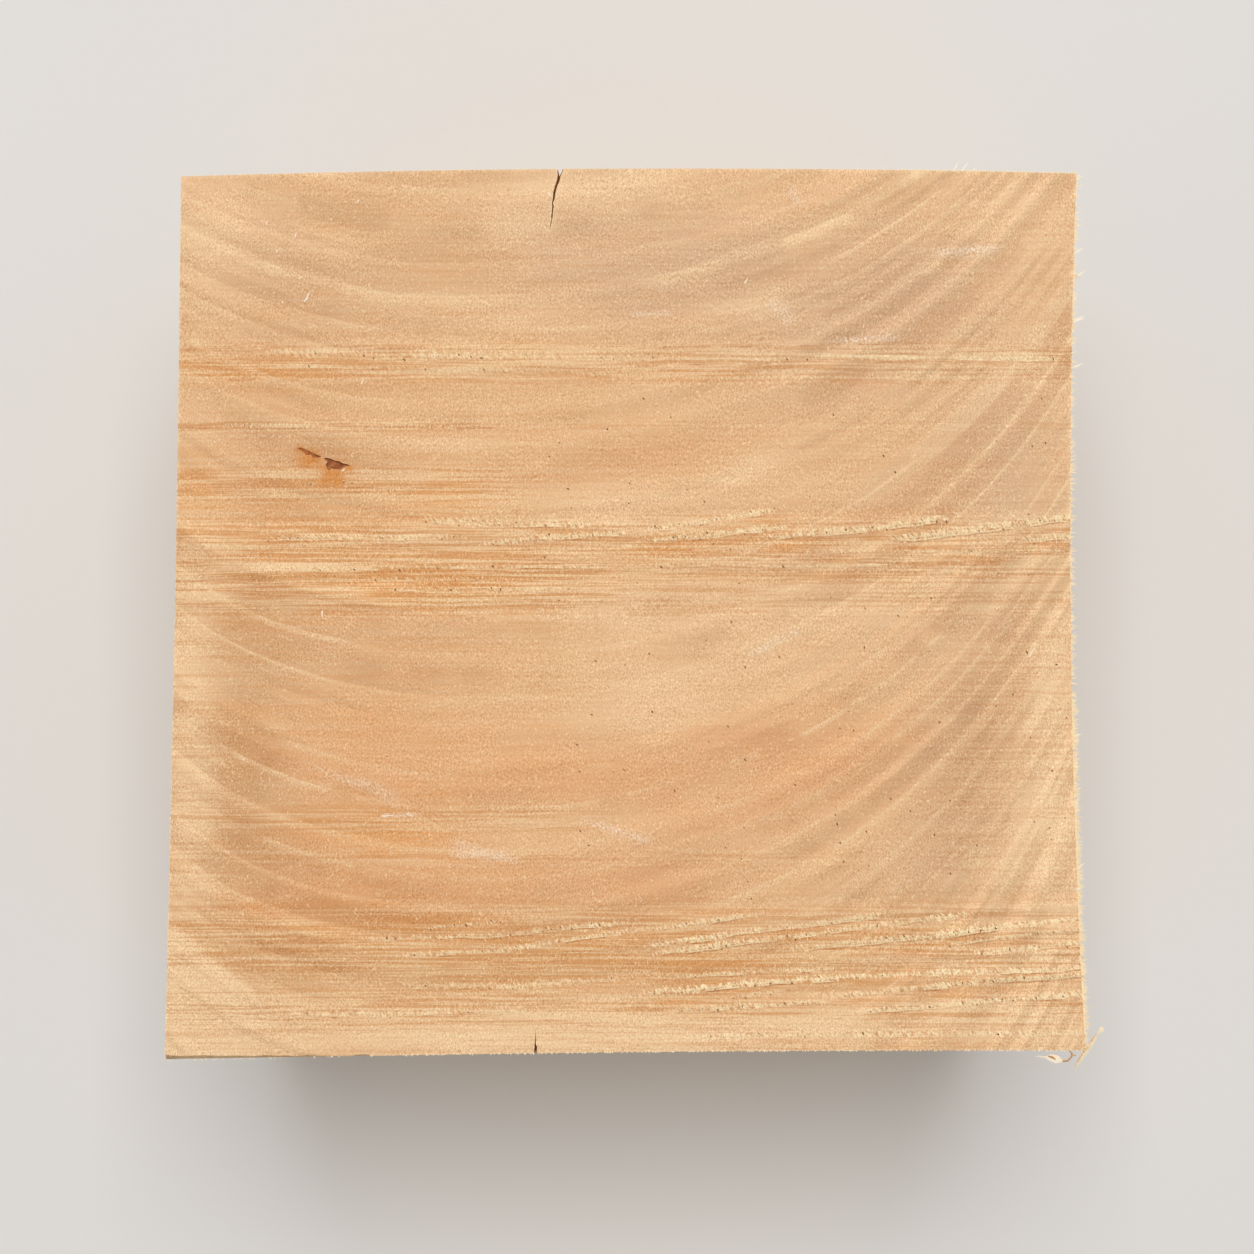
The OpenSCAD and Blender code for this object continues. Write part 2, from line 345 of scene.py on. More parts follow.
def cornerMask(x, y):
    start, end = np.array(paleCorner["start"]), np.array(paleCorner["end"])
    length = np.linalg.norm(end - start)
    along = (end - start) / length
    run = ((x - start[0]) * along[0] + (y - start[1]) * along[1]) / length
    beyond = (x - start[0]) * along[1] - (y - start[1]) * along[0]
    beyond = beyond + 0.8 * (latticeNoise(run * 9, run * 0, 59) - 0.5)
    inside = smoothStep(-paleCorner["soft"], paleCorner["soft"], beyond)
    return paleCorner["strength"] * inside * (1 - smoothStep(0.8, 1.2, run))


# Whitish rubs: start, end, half width at each end, strength
scuffGain = 1.4
scuffMarks = [
    ((-34.8, -16.6), (-25.3, -20.2), 0.25, 0.9, 0.25), ((-19.0, -25.8), (-11.6, -27.2), 1.0, 0.25, 0.4),
    ((-4.5, -22.7), (2.7, -25.1), 0.2, 0.4, 0.4), ((16.0, 34.8), (18.4, 32.4), 0.7, 0.7, 0.3),
    ((-26.8, -22.3), (-22.0, -21.9), 0.2, 0.15, 0.6), ((13.8, -4.5), (19.4, -1.7), 0.4, 0.3, 0.3),
    ((34.2, 40.0), (41.0, 40.3), 0.3, 0.5, 0.4), ((0.8, 33.2), (5.2, 33.3), 0.3, 0.3, 0.45),
    ((23.0, 30.3), (30.0, 30.6), 0.3, 0.3, 0.35), ((18.0, 47.2), (19.4, 45.3), 0.5, 0.4, 0.35),
]


def scuffMask(x, y):
    mask = np.zeros_like(x)
    grainy = 0.4 + latticeNoise(x * 2.2, y * 2.2, 57)
    for start, end, startHalf, endHalf, strength in scuffMarks:
        start, end = np.array(start), np.array(end)
        length = np.linalg.norm(end - start)
        along = (end - start) / length
        share = ((x - start[0]) * along[0] + (y - start[1]) * along[1]) / length
        away = np.abs((y - start[1]) * along[0] - (x - start[0]) * along[1])
        half = startHalf + (endHalf - startHalf) * np.clip(share, 0, 1)
        ends = smoothStep(-0.1, 0.1, share) * (1 - smoothStep(0.9, 1.1, share))
        mask = np.maximum(mask, strength * ends * (1 - smoothStep(0.5, 1.4, away / half)))
    return np.clip(scuffGain * mask * grainy, 0, 1)


def makeObject(name, points, faces, materials, faceMaterials=None, smooth=True):
    mesh = bpy.data.meshes.new(name)
    mesh.from_pydata(points, [], faces)
    for material in materials:
        mesh.materials.append(material)
    if faceMaterials is not None:
        mesh.polygons.foreach_set("material_index", np.asarray(faceMaterials, np.int32))
    mesh.polygons.foreach_set("use_smooth", np.full(len(mesh.polygons), smooth))
    mesh.update()
    piece = bpy.data.objects.new(name, mesh)
    scene.collection.objects.link(piece)
    return piece


# Shader helpers: a node with its inputs, common nodes, and a group with named sockets
def fillInputs(tree, node, inputs):
    for key, value in inputs.items():
        if isinstance(value, bpy.types.NodeSocket):
            tree.links.new(value, node.inputs[key])
        else:
            node.inputs[key].default_value = value
    return node


def addNode(tree, kind, inputs=None, **settings):
    node = tree.nodes.new(kind)
    for name, value in settings.items():
        setattr(node, name, value)
    return fillInputs(tree, node, inputs or {})


def maths(tree, operation, first, second=0.0):
    return addNode(tree, "ShaderNodeMath", {0: first, 1: second}, operation=operation).outputs[0]


def remap(tree, value, low, high, toLow=0.0, toHigh=1.0):
    inputs = {"Value": value, "From Min": low, "From Max": high, "To Min": toLow, "To Max": toHigh}
    return addNode(tree, "ShaderNodeMapRange", inputs, interpolation_type="SMOOTHSTEP").outputs["Result"]


def mixColor(tree, factor, first, second):
    return addNode(tree, "ShaderNodeMix", {0: factor, 6: first, 7: second}, data_type="RGBA").outputs[2]


def scaleVector(tree, vector, amount):
    return addNode(tree, "ShaderNodeVectorMath", {0: vector, "Scale": amount}, operation="SCALE").outputs[0]


def stretch(tree, place, amounts):
    return addNode(tree, "ShaderNodeVectorMath", {0: place, 1: amounts}, operation="MULTIPLY").outputs[0]


def turnPlace(tree, place, angle):
    inputs = {"Vector": place, "Angle": angle}
    return addNode(tree, "ShaderNodeVectorRotate", inputs, rotation_type="Z_AXIS").outputs[0]


def noise(tree, place, detail=2.0, rough=0.55, kind="3D"):
    inputs = {"W" if kind == "1D" else "Vector": place, "Scale": 1.0, "Detail": detail, "Roughness": rough}
    return addNode(tree, "ShaderNodeTexNoise", inputs, noise_dimensions=kind).outputs[0]


def startGroup(name, inputs, outputs):
    tree = bpy.data.node_groups.new(name, "ShaderNodeTree")
    for label, kind, value in inputs:
        socket = tree.interface.new_socket(label, in_out="INPUT", socket_type=kind)
        if value is not None:
            socket.default_value = value
    for label in outputs:
        tree.interface.new_socket(label, in_out="OUTPUT", socket_type="NodeSocketFloat")
    return tree, addNode(tree, "NodeGroupInput").outputs, addNode(tree, "NodeGroupOutput").inputs


def placeGroup(tree, group, inputs):
    return fillInputs(tree, addNode(tree, "ShaderNodeGroup", node_tree=group), inputs).outputs


# Growth rings: arcs round the heart of the tree, which lay behind the back face
growthForm = {
    "spacing": 4.0, "waver": 1.6, "flatAt": -17.0, "opening": 0.003,
    "right": {"radius": 85.0, "edge": 67.0, "rise": 14.0},
    "left": {"radius": 64.0, "edge": 34.0, "rise": 2.0},
    "turnMost": 1.25, "turnLeast": 1.0, "turnMiddle": -12.0, "turnReach": 45.0,
}


def makeGrowthRings():
    tree, given, made = startGroup(
        "growthRings",
        [("Place", "NodeSocketVector", None), ("Spacing", "NodeSocketFloat", growthForm["spacing"]),
         ("Waver", "NodeSocketFloat", growthForm["waver"])],
        ["Ring", "Edge", "Line", "Tint"],
    )
    axes = addNode(tree, "ShaderNodeSeparateXYZ", {0: given["Place"]}).outputs
    wave = noise(tree, stretch(tree, given["Place"], (0.055, 0.055, 0.012)))
    wave = maths(tree, "MULTIPLY", maths(tree, "SUBTRACT", wave, 0.5), given["Waver"])
    across = maths(tree, "SUBTRACT", axes["X"], growthForm["flatAt"])
    # the arcs turn up most a little in front of the middle
    reach = maths(tree, "SUBTRACT", axes["Y"], growthForm["turnMiddle"])
    reach = maths(tree, "POWER", maths(tree, "DIVIDE", reach, growthForm["turnReach"]), 2.0)
    turnUp = maths(tree, "SUBTRACT", growthForm["turnMost"], reach)
    turnUp = maths(tree, "MAXIMUM", turnUp, growthForm["turnLeast"])
    rise = 0.0
    for side, way in (("right", 1.0), ("left", -1.0)):
        form = growthForm[side]
        out = maths(tree, "MAXIMUM", maths(tree, "MULTIPLY", across, way), 0.0)
        bowl = maths(tree, "DIVIDE", maths(tree, "POWER", out, 2.0), 2 * form["radius"])
        turn = maths(tree, "POWER", maths(tree, "DIVIDE", out, form["edge"]), 6.0)
        turn = maths(tree, "MULTIPLY", maths(tree, "MULTIPLY", turn, form["rise"]), turnUp)
        rise = maths(tree, "ADD", maths(tree, "ADD", bowl, turn), rise)
    opening = maths(tree, "MULTIPLY", axes["Y"], -growthForm["opening"])
    rise = maths(tree, "MULTIPLY", rise, maths(tree, "ADD", opening, 1.0))
    out = maths(tree, "ADD", maths(tree, "SUBTRACT", rise, axes["Y"]), wave)
    uneven = noise(tree, maths(tree, "MULTIPLY", out, 0.13), 1.0, kind="1D")
    years = maths(tree, "DIVIDE", out, given["Spacing"])
    years = maths(tree, "ADD", years, maths(tree, "MULTIPLY", uneven, 1.5))
    part = maths(tree, "FRACT", years)
    year = maths(tree, "FLOOR", years)
    level = addNode(tree, "ShaderNodeTexWhiteNoise", {"W": year}, noise_dimensions="1D").outputs["Value"]
    late = maths(tree, "MULTIPLY", remap(tree, part, 0.05, 0.65), remap(tree, part, 1.0, 0.70))
    late = maths(tree, "MULTIPLY", late, remap(tree, level, 0.0, 1.0, 0.15, 0.55))
    streak = noise(tree, maths(tree, "MULTIPLY", out, 0.22), 3.0, 0.5, kind="1D")
    streak = remap(tree, streak, 0.35, 0.65, -0.8, 0.8)
    patchy = noise(tree, stretch(tree, given["Place"], (0.10, 0.10, 0.01)), 3.0)
    broken = remap(tree, patchy, 0.58, 0.42)
    patchy = remap(tree, patchy, 0.40, 0.62, 0.1, 1.0)
    ring = maths(tree, "MULTIPLY", maths(tree, "ADD", late, streak), patchy)
    edge = maths(tree, "MULTIPLY", remap(tree, part, 0.62, 0.96), remap(tree, part, 1.0, 0.975))
    edge = maths(tree, "MULTIPLY", maths(tree, "MULTIPLY", edge, level), patchy)
    line = maths(tree, "MULTIPLY", remap(tree, part, 0.0, 0.05), remap(tree, part, 0.30, 0.05))
    line = maths(tree, "MULTIPLY", maths(tree, "MULTIPLY", line, level), broken)
    tint = noise(tree, maths(tree, "MULTIPLY", out, 0.24), 2.0, kind="1D")
    tree.links.new(ring, made["Ring"])
    tree.links.new(edge, made["Edge"])
    tree.links.new(line, made["Line"])
    tree.links.new(remap(tree, tint, 0.35, 0.65, -1.0, 1.0), made["Tint"])
    return tree


# Felt of cut fibres: short strokes that lean two ways
def makeFibreNap():
    tree, given, made = startGroup(
        "fibreNap",
        [("Place", "NodeSocketVector", None), ("Lean", "NodeSocketFloat", 0.5)],
        ["Tone", "Height"],
    )
    strokes = []
    for way in (1.0, -1.0):
        turned = turnPlace(tree, given["Place"], maths(tree, "MULTIPLY", given["Lean"], way))
        strokes.append(noise(tree, stretch(tree, turned, (9.2, 3.0, 9.2)), 1.0))
    pick = remap(tree, noise(tree, scaleVector(tree, given["Place"], 0.9), 1.0), 0.44, 0.56)
    inputs = {0: pick, 2: strokes[0], 3: strokes[1]}
    felt = addNode(tree, "ShaderNodeMix", inputs, data_type="FLOAT").outputs[0]
    lit = remap(tree, felt, 0.53, 0.61)
    sunk = remap(tree, felt, 0.47, 0.38, 0.0, 0.8)
    thick = noise(tree, stretch(tree, given["Place"], (0.12, 0.20, 0.1)), 3.0)
    thick = remap(tree, thick, 0.36, 0.64, 0.45, 1.45)
    tree.links.new(maths(tree, "MULTIPLY", maths(tree, "SUBTRACT", lit, sunk), thick), made["Tone"])
    tree.links.new(maths(tree, "ADD", felt, maths(tree, "MULTIPLY", lit, 0.5)), made["Height"])
    return tree


# Fine lines of the blade, along X of the given place
def makeBladeLines():
    tree, given, made = startGroup("bladeLines", [("Place", "NodeSocketVector", None)], ["Tone", "Height"])
    sway = noise(tree, stretch(tree, given["Place"], (0.12, 0.30, 0.1)), 1.0)
    sway = addNode(tree, "ShaderNodeCombineXYZ", {1: maths(tree, "MULTIPLY", sway, 0.3)}).outputs[0]
    swayed = addNode(tree, "ShaderNodeVectorMath", {0: given["Place"], 1: sway}, operation="ADD").outputs[0]
    wide = noise(tree, stretch(tree, swayed, (0.03, 0.8, 0.4)), 2.0)
    fine = noise(tree, stretch(tree, swayed, (0.07, 3.4, 0.4)), 2.0, 0.7)
    lines = maths(tree, "ADD", maths(tree, "MULTIPLY", wide, 0.3), maths(tree, "MULTIPLY", fine, 0.7))
    tree.links.new(remap(tree, lines, 0.40, 0.60, -1.0, 1.0), made["Tone"])
    tree.links.new(lines, made["Height"])
    return tree


growthRings, fibreNap, bladeLines = makeGrowthRings(), makeFibreNap(), makeBladeLines()


def startMaterial(name):
    material = bpy.data.materials.new(name)
    material.use_nodes = True
    tree = material.node_tree
    shader = tree.nodes["Principled BSDF"]
    shader.inputs["Specular IOR Level"].default_value = 0.25
    spot = addNode(tree, "ShaderNodeTexCoord").outputs["Object"]
    return material, tree, shader, scaleVector(tree, spot, 1 / mm)


def readMask(tree, name):
    node = addNode(tree, "ShaderNodeAttribute", attribute_name=name, attribute_type="GEOMETRY")
    parts = addNode(tree, "ShaderNodeSeparateColor", {0: node.outputs["Color"]}).outputs
    return parts[0], parts[1], parts[2], node.outputs["Alpha"]


def bumpInto(tree, shader, strength, distance, height):
    inputs = {"Strength": strength, "Distance": distance * mm, "Height": height}
    tree.links.new(addNode(tree, "ShaderNodeBump", inputs).outputs[0], shader.inputs["Normal"])


endGrainLook = {
    "light": srgb(237, 192, 145), "grey": srgb(217, 180, 145), "warm": srgb(232, 167, 113),
    "pale": srgb(253, 217, 172), "orange": srgb(236, 168, 101), "umber": srgb(206, 152, 100),
    # the dark gap colour next to torn is painted shade between the torn fibres; the hatch values below say
    # where it falls
    "torn": srgb(255, 233, 187), "tornGapShade": srgb(202, 132, 70),
    "pink": srgb(238, 187, 146), "drab": srgb(218, 181, 141), "tint": 0.30,
    # the trough colour is painted shade along the groove before each ridge and in the blade's cut lines
    "trough": srgb(186, 110, 52), "ringLine": srgb(250, 214, 168),
    "ringLight": (1.06, 1.08, 1.10, 1.0), "ringShade": (0.89, 0.86, 0.84, 1.0),
    "lineDark": srgb(212, 148, 88), "lineLight": srgb(251, 217, 168),
    "gum": srgb(218, 142, 70), "scuff": srgb(250, 230, 206),
    "napDark": (0.81, 0.73, 0.65, 1.0), "napLight": (1.19, 1.25, 1.32, 1.0),
    "ring": 0.8, "ringEdge": 1.3, "ringMiddle": 0.4, "ringPale": 0.8,
    "edgeRun": (-12.0, -36.0),  # where ring edges begin to show, and show fully
    "zone": 0.8, "orangeRows": (1.1, 0.4),  # share of a zone's tone, and of orange in dark and light lines
    "lineDarkMost": 0.7, "lineLightMost": 0.6, "troughShadeMost": 0.75,
    "hatchTurn": -0.5, "hatchScale": 0.46, "hatchLean": 0.06, "hatchRagged": -0.25,
    "tornEdge": (1.0, 0.75), "troughShadeEdge": (0.13, 0.04),  # where each fades in
    "hatchLit": (-0.1, 0.3, 0.15, 0.95), "hatchShade": (-0.1, -0.5, 0.0, 0.95),
    # core brings pale fibre to the middle of a ridge; the lip values put a painted highlight along its
    # front edge
    "core": (0.45, 0.15, 0.0, 0.6), "lipHighlightLine": (0.30, 0.18), "lipHighlightRidge": (1.0, 0.9),
    "rough": (0.92, 0.78), "bump": 0.5, "bumpDeep": 0.12,
}


def makeEndGrain():
    look = endGrainLook
    material, tree, shader, place = startMaterial("endGrain")
    rings = placeGroup(tree, growthRings, {"Place": place})
    nap = placeGroup(tree, fibreNap, {"Place": place})
    hatchPlace = stretch(tree, turnPlace(tree, place, look["hatchTurn"]), (look["hatchScale"],) * 3)
    hatch = placeGroup(tree, fibreNap, {"Place": hatchPlace, "Lean": look["hatchLean"]})
    lines = placeGroup(tree, bladeLines, {"Place": place})
    grey, warm, pale, orange = readMask(tree, "toneZones")
    ridgeFar, lineFar, scoredZone, level = readMask(tree, "bladeWork")
    gum, scuff, crisp, umber = readMask(tree, "marks")
    # pale fibre on the ridges and painted shade along the groove before each, with ragged edges
    ragged = maths(tree, "MULTIPLY", hatch["Tone"], look["hatchRagged"])
    torn = remap(tree, maths(tree, "ADD", ridgeFar, ragged), *look["tornEdge"])
    torn = maths(tree, "MULTIPLY", torn, level)
    # painted shade along the groove before each ridge
    trough = maths(tree, "ADD", lineFar, maths(tree, "MULTIPLY", ragged, 0.15))
    trough = maths(tree, "MULTIPLY", remap(tree, trough, *look["troughShadeEdge"]), level)
    # tones of the wood
    tinted = maths(tree, "MULTIPLY", maths(tree, "MULTIPLY", rings["Tint"], crisp), look["tint"])
    color = mixColor(tree, maths(tree, "MAXIMUM", tinted, 0.0), look["light"], look["pink"])
    drab = maths(tree, "MAXIMUM", maths(tree, "MULTIPLY", tinted, -1.0), 0.0)
    color = mixColor(tree, drab, color, look["drab"])
    color = mixColor(tree, maths(tree, "MULTIPLY", grey, look["zone"]), color, look["grey"])
    orange = maths(tree, "MULTIPLY", orange, remap(tree, lines["Tone"], -1.0, 1.0, *look["orangeRows"]))
    for zone, name in ((umber, "umber"), (warm, "warm"), (orange, "orange"), (pale, "pale")):
        color = mixColor(tree, maths(tree, "MULTIPLY", zone, look["zone"]), color, look[name])
    # growth rings and the lines of the blade
    ringLine = maths(tree, "MULTIPLY", maths(tree, "MULTIPLY", rings["Line"], crisp), look["ringPale"])
    color = mixColor(tree, ringLine, color, look["ringLine"])
    low = remap(tree, lines["Tone"], 0.0, -1.0, 0.0, look["lineDarkMost"])
    high = remap(tree, lines["Tone"], 0.0, 1.0, 0.0, look["lineLightMost"])
    color = mixColor(tree, maths(tree, "MULTIPLY", low, scoredZone), color, look["lineDark"])
    color = mixColor(tree, maths(tree, "MULTIPLY", high, scoredZone), color, look["lineLight"])
    ringed = maths(tree, "MULTIPLY", rings["Ring"], maths(tree, "MULTIPLY", crisp, look["ring"]))
    axisX = addNode(tree, "ShaderNodeSeparateXYZ", {0: place}).outputs["X"]
    edged = remap(tree, axisX, *look["edgeRun"], 0.0, look["ringEdge"])
    edged = maths(tree, "MULTIPLY", rings["Edge"], edged)
    ringed = maths(tree, "ADD", maths(tree, "ADD", ringed, edged), look["ringMiddle"])
    color = stretch(tree, color, mixColor(tree, ringed, look["ringLight"], look["ringShade"]))
    # painted shade in the grooves, then the ridges with painted shade between their fibres and a painted
    # highlight on each front lip, then gum, rubs and the nap
    color = mixColor(tree, maths(tree, "MULTIPLY", trough, look["troughShadeMost"]), color, look["trough"])
    hatched = maths(tree, "MULTIPLY", torn, remap(tree, hatch["Tone"], *look["hatchLit"]))
    color = mixColor(tree, hatched, color, look["torn"])
    # painted shade in the gaps between the torn fibres
    hatched = maths(tree, "MULTIPLY", torn, remap(tree, hatch["Tone"], *look["hatchShade"]))
    color = mixColor(tree, hatched, color, look["tornGapShade"])
    # a pale middle on each ridge and a painted highlight along its front lip
    core = remap(tree, ridgeFar, *look["core"])
    lip = remap(tree, lineFar, *look["lipHighlightLine"])
    lip = maths(tree, "MULTIPLY", lip, remap(tree, ridgeFar, *look["lipHighlightRidge"]))
    core = maths(tree, "MULTIPLY", maths(tree, "MAXIMUM", core, lip), level)
    color = mixColor(tree, core, color, look["torn"])
    color = mixColor(tree, gum, color, look["gum"])
    scuff = maths(tree, "MULTIPLY", scuff, remap(tree, nap["Tone"], -0.5, 0.6, 0.2, 1.0))
    color = mixColor(tree, scuff, color, look["scuff"])
    shade = mixColor(tree, remap(tree, nap["Tone"], -1.0, 1.0), look["napDark"], look["napLight"])
    tree.links.new(stretch(tree, color, shade), shader.inputs["Base Color"])
    tree.links.new(remap(tree, nap["Tone"], -1.0, 1.0, *look["rough"]), shader.inputs["Roughness"])
    height = maths(tree, "ADD", nap["Height"], maths(tree, "MULTIPLY", lines["Height"], scoredZone))
    bumpInto(tree, shader, look["bump"], look["bumpDeep"], height)
    return material


longGrainLook = {
    "light": srgb(236, 198, 150), "dark": srgb(204, 156, 108), "pale": srgb(247, 218, 176),
    "ring": 0.8, "grain": 0.12, "nap": 0.10, "saw": 0.025, "sawTurn": 0.05,
    "rough": (0.9, 0.7), "bump": 0.45, "bumpDeep": 0.12, "sawBump": 0.3,
}


def makeLongGrain():
    look = longGrainLook
    material, tree, shader, place = startMaterial("longGrain")
    rings = placeGroup(tree, growthRings, {"Place": place, "Waver": 3.0})
    axes = addNode(tree, "ShaderNodeSeparateXYZ", {0: place}).outputs
    # a flat place on each side: round the block, then up it
    around = maths(tree, "ADD", axes["X"], axes["Y"])
    wall = addNode(tree, "ShaderNodeCombineXYZ", {0: around, 1: axes["Z"]}).outputs[0]
    nap = placeGroup(tree, fibreNap, {"Place": stretch(tree, wall, (0.5, 0.05, 1.0)), "Lean": 0.03})
    sawPlace = stretch(tree, turnPlace(tree, wall, look["sawTurn"]), (1.0, 0.16, 1.0))
    saw = placeGroup(tree, bladeLines, {"Place": sawPlace})
    grain = noise(tree, stretch(tree, wall, (1.1, 0.012, 1.0)), 4.0, 0.6)
    grain = remap(tree, grain, 0.33, 0.67, -1.0, 1.0)
    ringed = maths(tree, "MULTIPLY", rings["Ring"], look["ring"])
    color = mixColor(tree, ringed, look["light"], look["dark"])
    fleck = noise(tree, stretch(tree, place, (0.9, 0.9, 0.03)), 3.0, 0.6)
    color = mixColor(tree, remap(tree, fleck, 0.5, 0.75, 0.0, 0.5), color, look["pale"])
    shade = 1.0
    for tone, name in ((grain, "grain"), (nap["Tone"], "nap"), (saw["Tone"], "saw")):
        shade = maths(tree, "ADD", maths(tree, "MULTIPLY", tone, look[name]), shade)
    tree.links.new(scaleVector(tree, color, shade), shader.inputs["Base Color"])
    tree.links.new(remap(tree, nap["Tone"], -1.0, 1.0, *look["rough"]), shader.inputs["Roughness"])
    height = maths(tree, "ADD", nap["Height"], maths(tree, "MULTIPLY", saw["Height"], look["sawBump"]))
    bumpInto(tree, shader, look["bump"], look["bumpDeep"], height)
    return material


darkWoodLook = {
    "splitWood": {"deep": srgb(122, 70, 36), "near": srgb(196, 136, 84)},
    "gumBark": {"deep": srgb(140, 76, 40), "near": srgb(202, 130, 78)},
    "gumSeam": {"deep": srgb(142, 76, 36), "near": srgb(190, 112, 58)},
}


def makeDarkWood(name):
    look = darkWoodLook[name]
    material, tree, shader, place = startMaterial(name)
    nap = placeGroup(tree, fibreNap, {"Place": place})
    cloudy = noise(tree, scaleVector(tree, place, 1.4), 2.0)
    tone = maths(tree, "MULTIPLY", nap["Tone"], 0.4)
    tone = maths(tree, "ADD", tone, remap(tree, cloudy, 0.3, 0.7, -0.8, 0.8))
    color = mixColor(tree, remap(tree, tone, -1.0, 1.0), look["deep"], look["near"])
    tree.links.new(color, shader.inputs["Base Color"])
    tree.links.new(remap(tree, nap["Tone"], -1.0, 1.0, 0.9, 0.6), shader.inputs["Roughness"])
    bumpInto(tree, shader, 0.6, 0.15, nap["Height"])
    return material


fibreLook = {"brown": srgb(206, 152, 98), "pale": srgb(254, 232, 190), "white": srgb(255, 243, 220)}


def makeFibreMaterial():
    material, tree, shader, place = startMaterial("cutFibre")
    node = addNode(tree, "ShaderNodeAttribute", attribute_name="fibreTone", attribute_type="GEOMETRY")
    speck = noise(tree, scaleVector(tree, place, 3.0), 1.0)
    tone = maths(tree, "ADD", node.outputs["Fac"], remap(tree, speck, 0.3, 0.7, -0.15, 0.15))
    color = mixColor(tree, remap(tree, tone, 0.0, 1.0), fibreLook["brown"], fibreLook["pale"])
    color = mixColor(tree, remap(tree, tone, 1.2, 1.7), color, fibreLook["white"])
    tree.links.new(color, shader.inputs["Base Color"])
    tree.links.new(remap(tree, speck, 0.3, 0.7, 0.9, 0.65), shader.inputs["Roughness"])
    return material


endGrain, longGrain, cutFibre = makeEndGrain(), makeLongGrain(), makeFibreMaterial()
splitWood, gumBark, gumSeam = (makeDarkWood(name) for name in darkWoodLook)
blockMaterials = [endGrain, longGrain, splitWood, gumBark, gumSeam]
topFace, wallFace, splitFace, gumFace, seamFace = range(5)
print("materials made")

# Sawn block: one closed mesh with a fine top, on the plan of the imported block
blockForm = {
    "cellsAcross": 210, "cellsDeep": 350, "wallRows": 13,
    "closeRows": [(-39.5, 8.0), (7.0, 5.5), (28.0, 2.6), (20.5, 0.5), (13.8, 0.9), (-26.3, 0.5)],
    "closer": 2.4,  # where the face is torn
    "arrisDrop": 0.10, "arrisWear": 0.30,  # rounding of the top edges
    "wallRelief": 0.05,  # raised grain on the sides
}


def rowShares(count):
    # rows lie closer together where the blade tore the face
    share = np.linspace(0, 1, 2000)
    y = frontLeft[1] + share * (backLeft[1] - frontLeft[1])
    weight = np.ones_like(y)
    for middle, half in blockForm["closeRows"]:
        weight = np.where(np.abs(y - middle) < half, blockForm["closer"], weight)
    run = np.cumsum(weight)
    return np.interp(np.linspace(0, 1, count + 1), (run - run[0]) / (run[-1] - run[0]), share)


def planGrid(across, deep):
    # patch between the four bowed sides
    u, v = np.linspace(0, 1, across + 1), rowShares(deep)
    front, back = sideLine("front", u), sideLine("back", 1 - u)
    left, right = sideLine("left", 1 - v), sideLine("right", v)
    u, v = u[None, :, None], v[:, None, None]
    ruled = (1 - v) * front[None] + v * back[None] + (1 - u) * left[:, None] + u * right[:, None]
    corners = (1 - u) * ((1 - v) * frontLeft + v * backLeft) + u * ((1 - v) * frontRight + v * backRight)
    return ruled - corners


def makeBlock():
    form = blockForm
    across, deep = form["cellsAcross"], form["cellsDeep"]
    plan = planGrid(across, deep).reshape(-1, 2)
    x, y = plan[:, 0], plan[:, 1]
    worn = form["arrisDrop"] * np.exp(-(rimDistance(plan) / form["arrisWear"]) ** 2)
    layers = [np.column_stack([x, y, blockHeight + topHeight(x, y) - worn])]
    number = np.arange(len(plan)).reshape(deep + 1, across + 1)
    quads = np.stack([number[:-1, :-1], number[:-1, 1:], number[1:, 1:], number[1:, :-1]], -1)
    faces = quads.reshape(-1, 4).tolist()
    slots = [topFace] * len(faces)
    # the rim of the top, counter-clockwise, and the walls that go down from it
    rim = np.concatenate([number[0, :-1], number[:-1, -1], number[-1, :0:-1], number[:0:-1, 0]])
    rimPlan = plan[rim]
    tangent = np.roll(rimPlan, -1, 0) - np.roll(rimPlan, 1, 0)
    outward = np.column_stack([tangent[:, 1], -tangent[:, 0]])
    outward = outward / np.linalg.norm(outward, axis=1)[:, None]
    run = np.concatenate([[0], np.cumsum(np.linalg.norm(np.diff(rimPlan, axis=0), axis=1))])
    corners = (frontLeft, frontRight, backLeft, backRight)
    calm = smoothStep(0.2, 3.0, np.min([np.linalg.norm(rimPlan - c, axis=1) for c in corners], 0))
    above, total = rim, len(plan)
    for step in 1 - np.linspace(0, 1, form["wallRows"] + 1)[1:] ** 1.6:
        height = step * blockHeight
        grain = latticeNoise(run * 1.3, np.full_like(run, height * 0.03), 31) - 0.5
        grain = grain + 0.7 * (latticeNoise(run * 0.35, np.full_like(run, height * 0.08), 32) - 0.5)
        ring = rimPlan + outward * (form["wallRelief"] * (grain - 0.6) * calm)[:, None]
        layers.append(np.column_stack([ring, np.full(len(ring), height)]))
        below = np.arange(total, total + len(ring))
        total += len(ring)
        walls = np.stack([above, below, np.roll(below, -1), np.roll(above, -1)], -1).tolist()
        faces += walls
        slots += [wallFace] * len(walls)
        above = below
    faces.append(above[::-1].tolist())
    slots.append(topFace)
    return makeObject("basswoodBlock", np.concatenate(layers) * mm, faces, blockMaterials, slots)


overrun = 1.0  # of each cut past the face that it opens

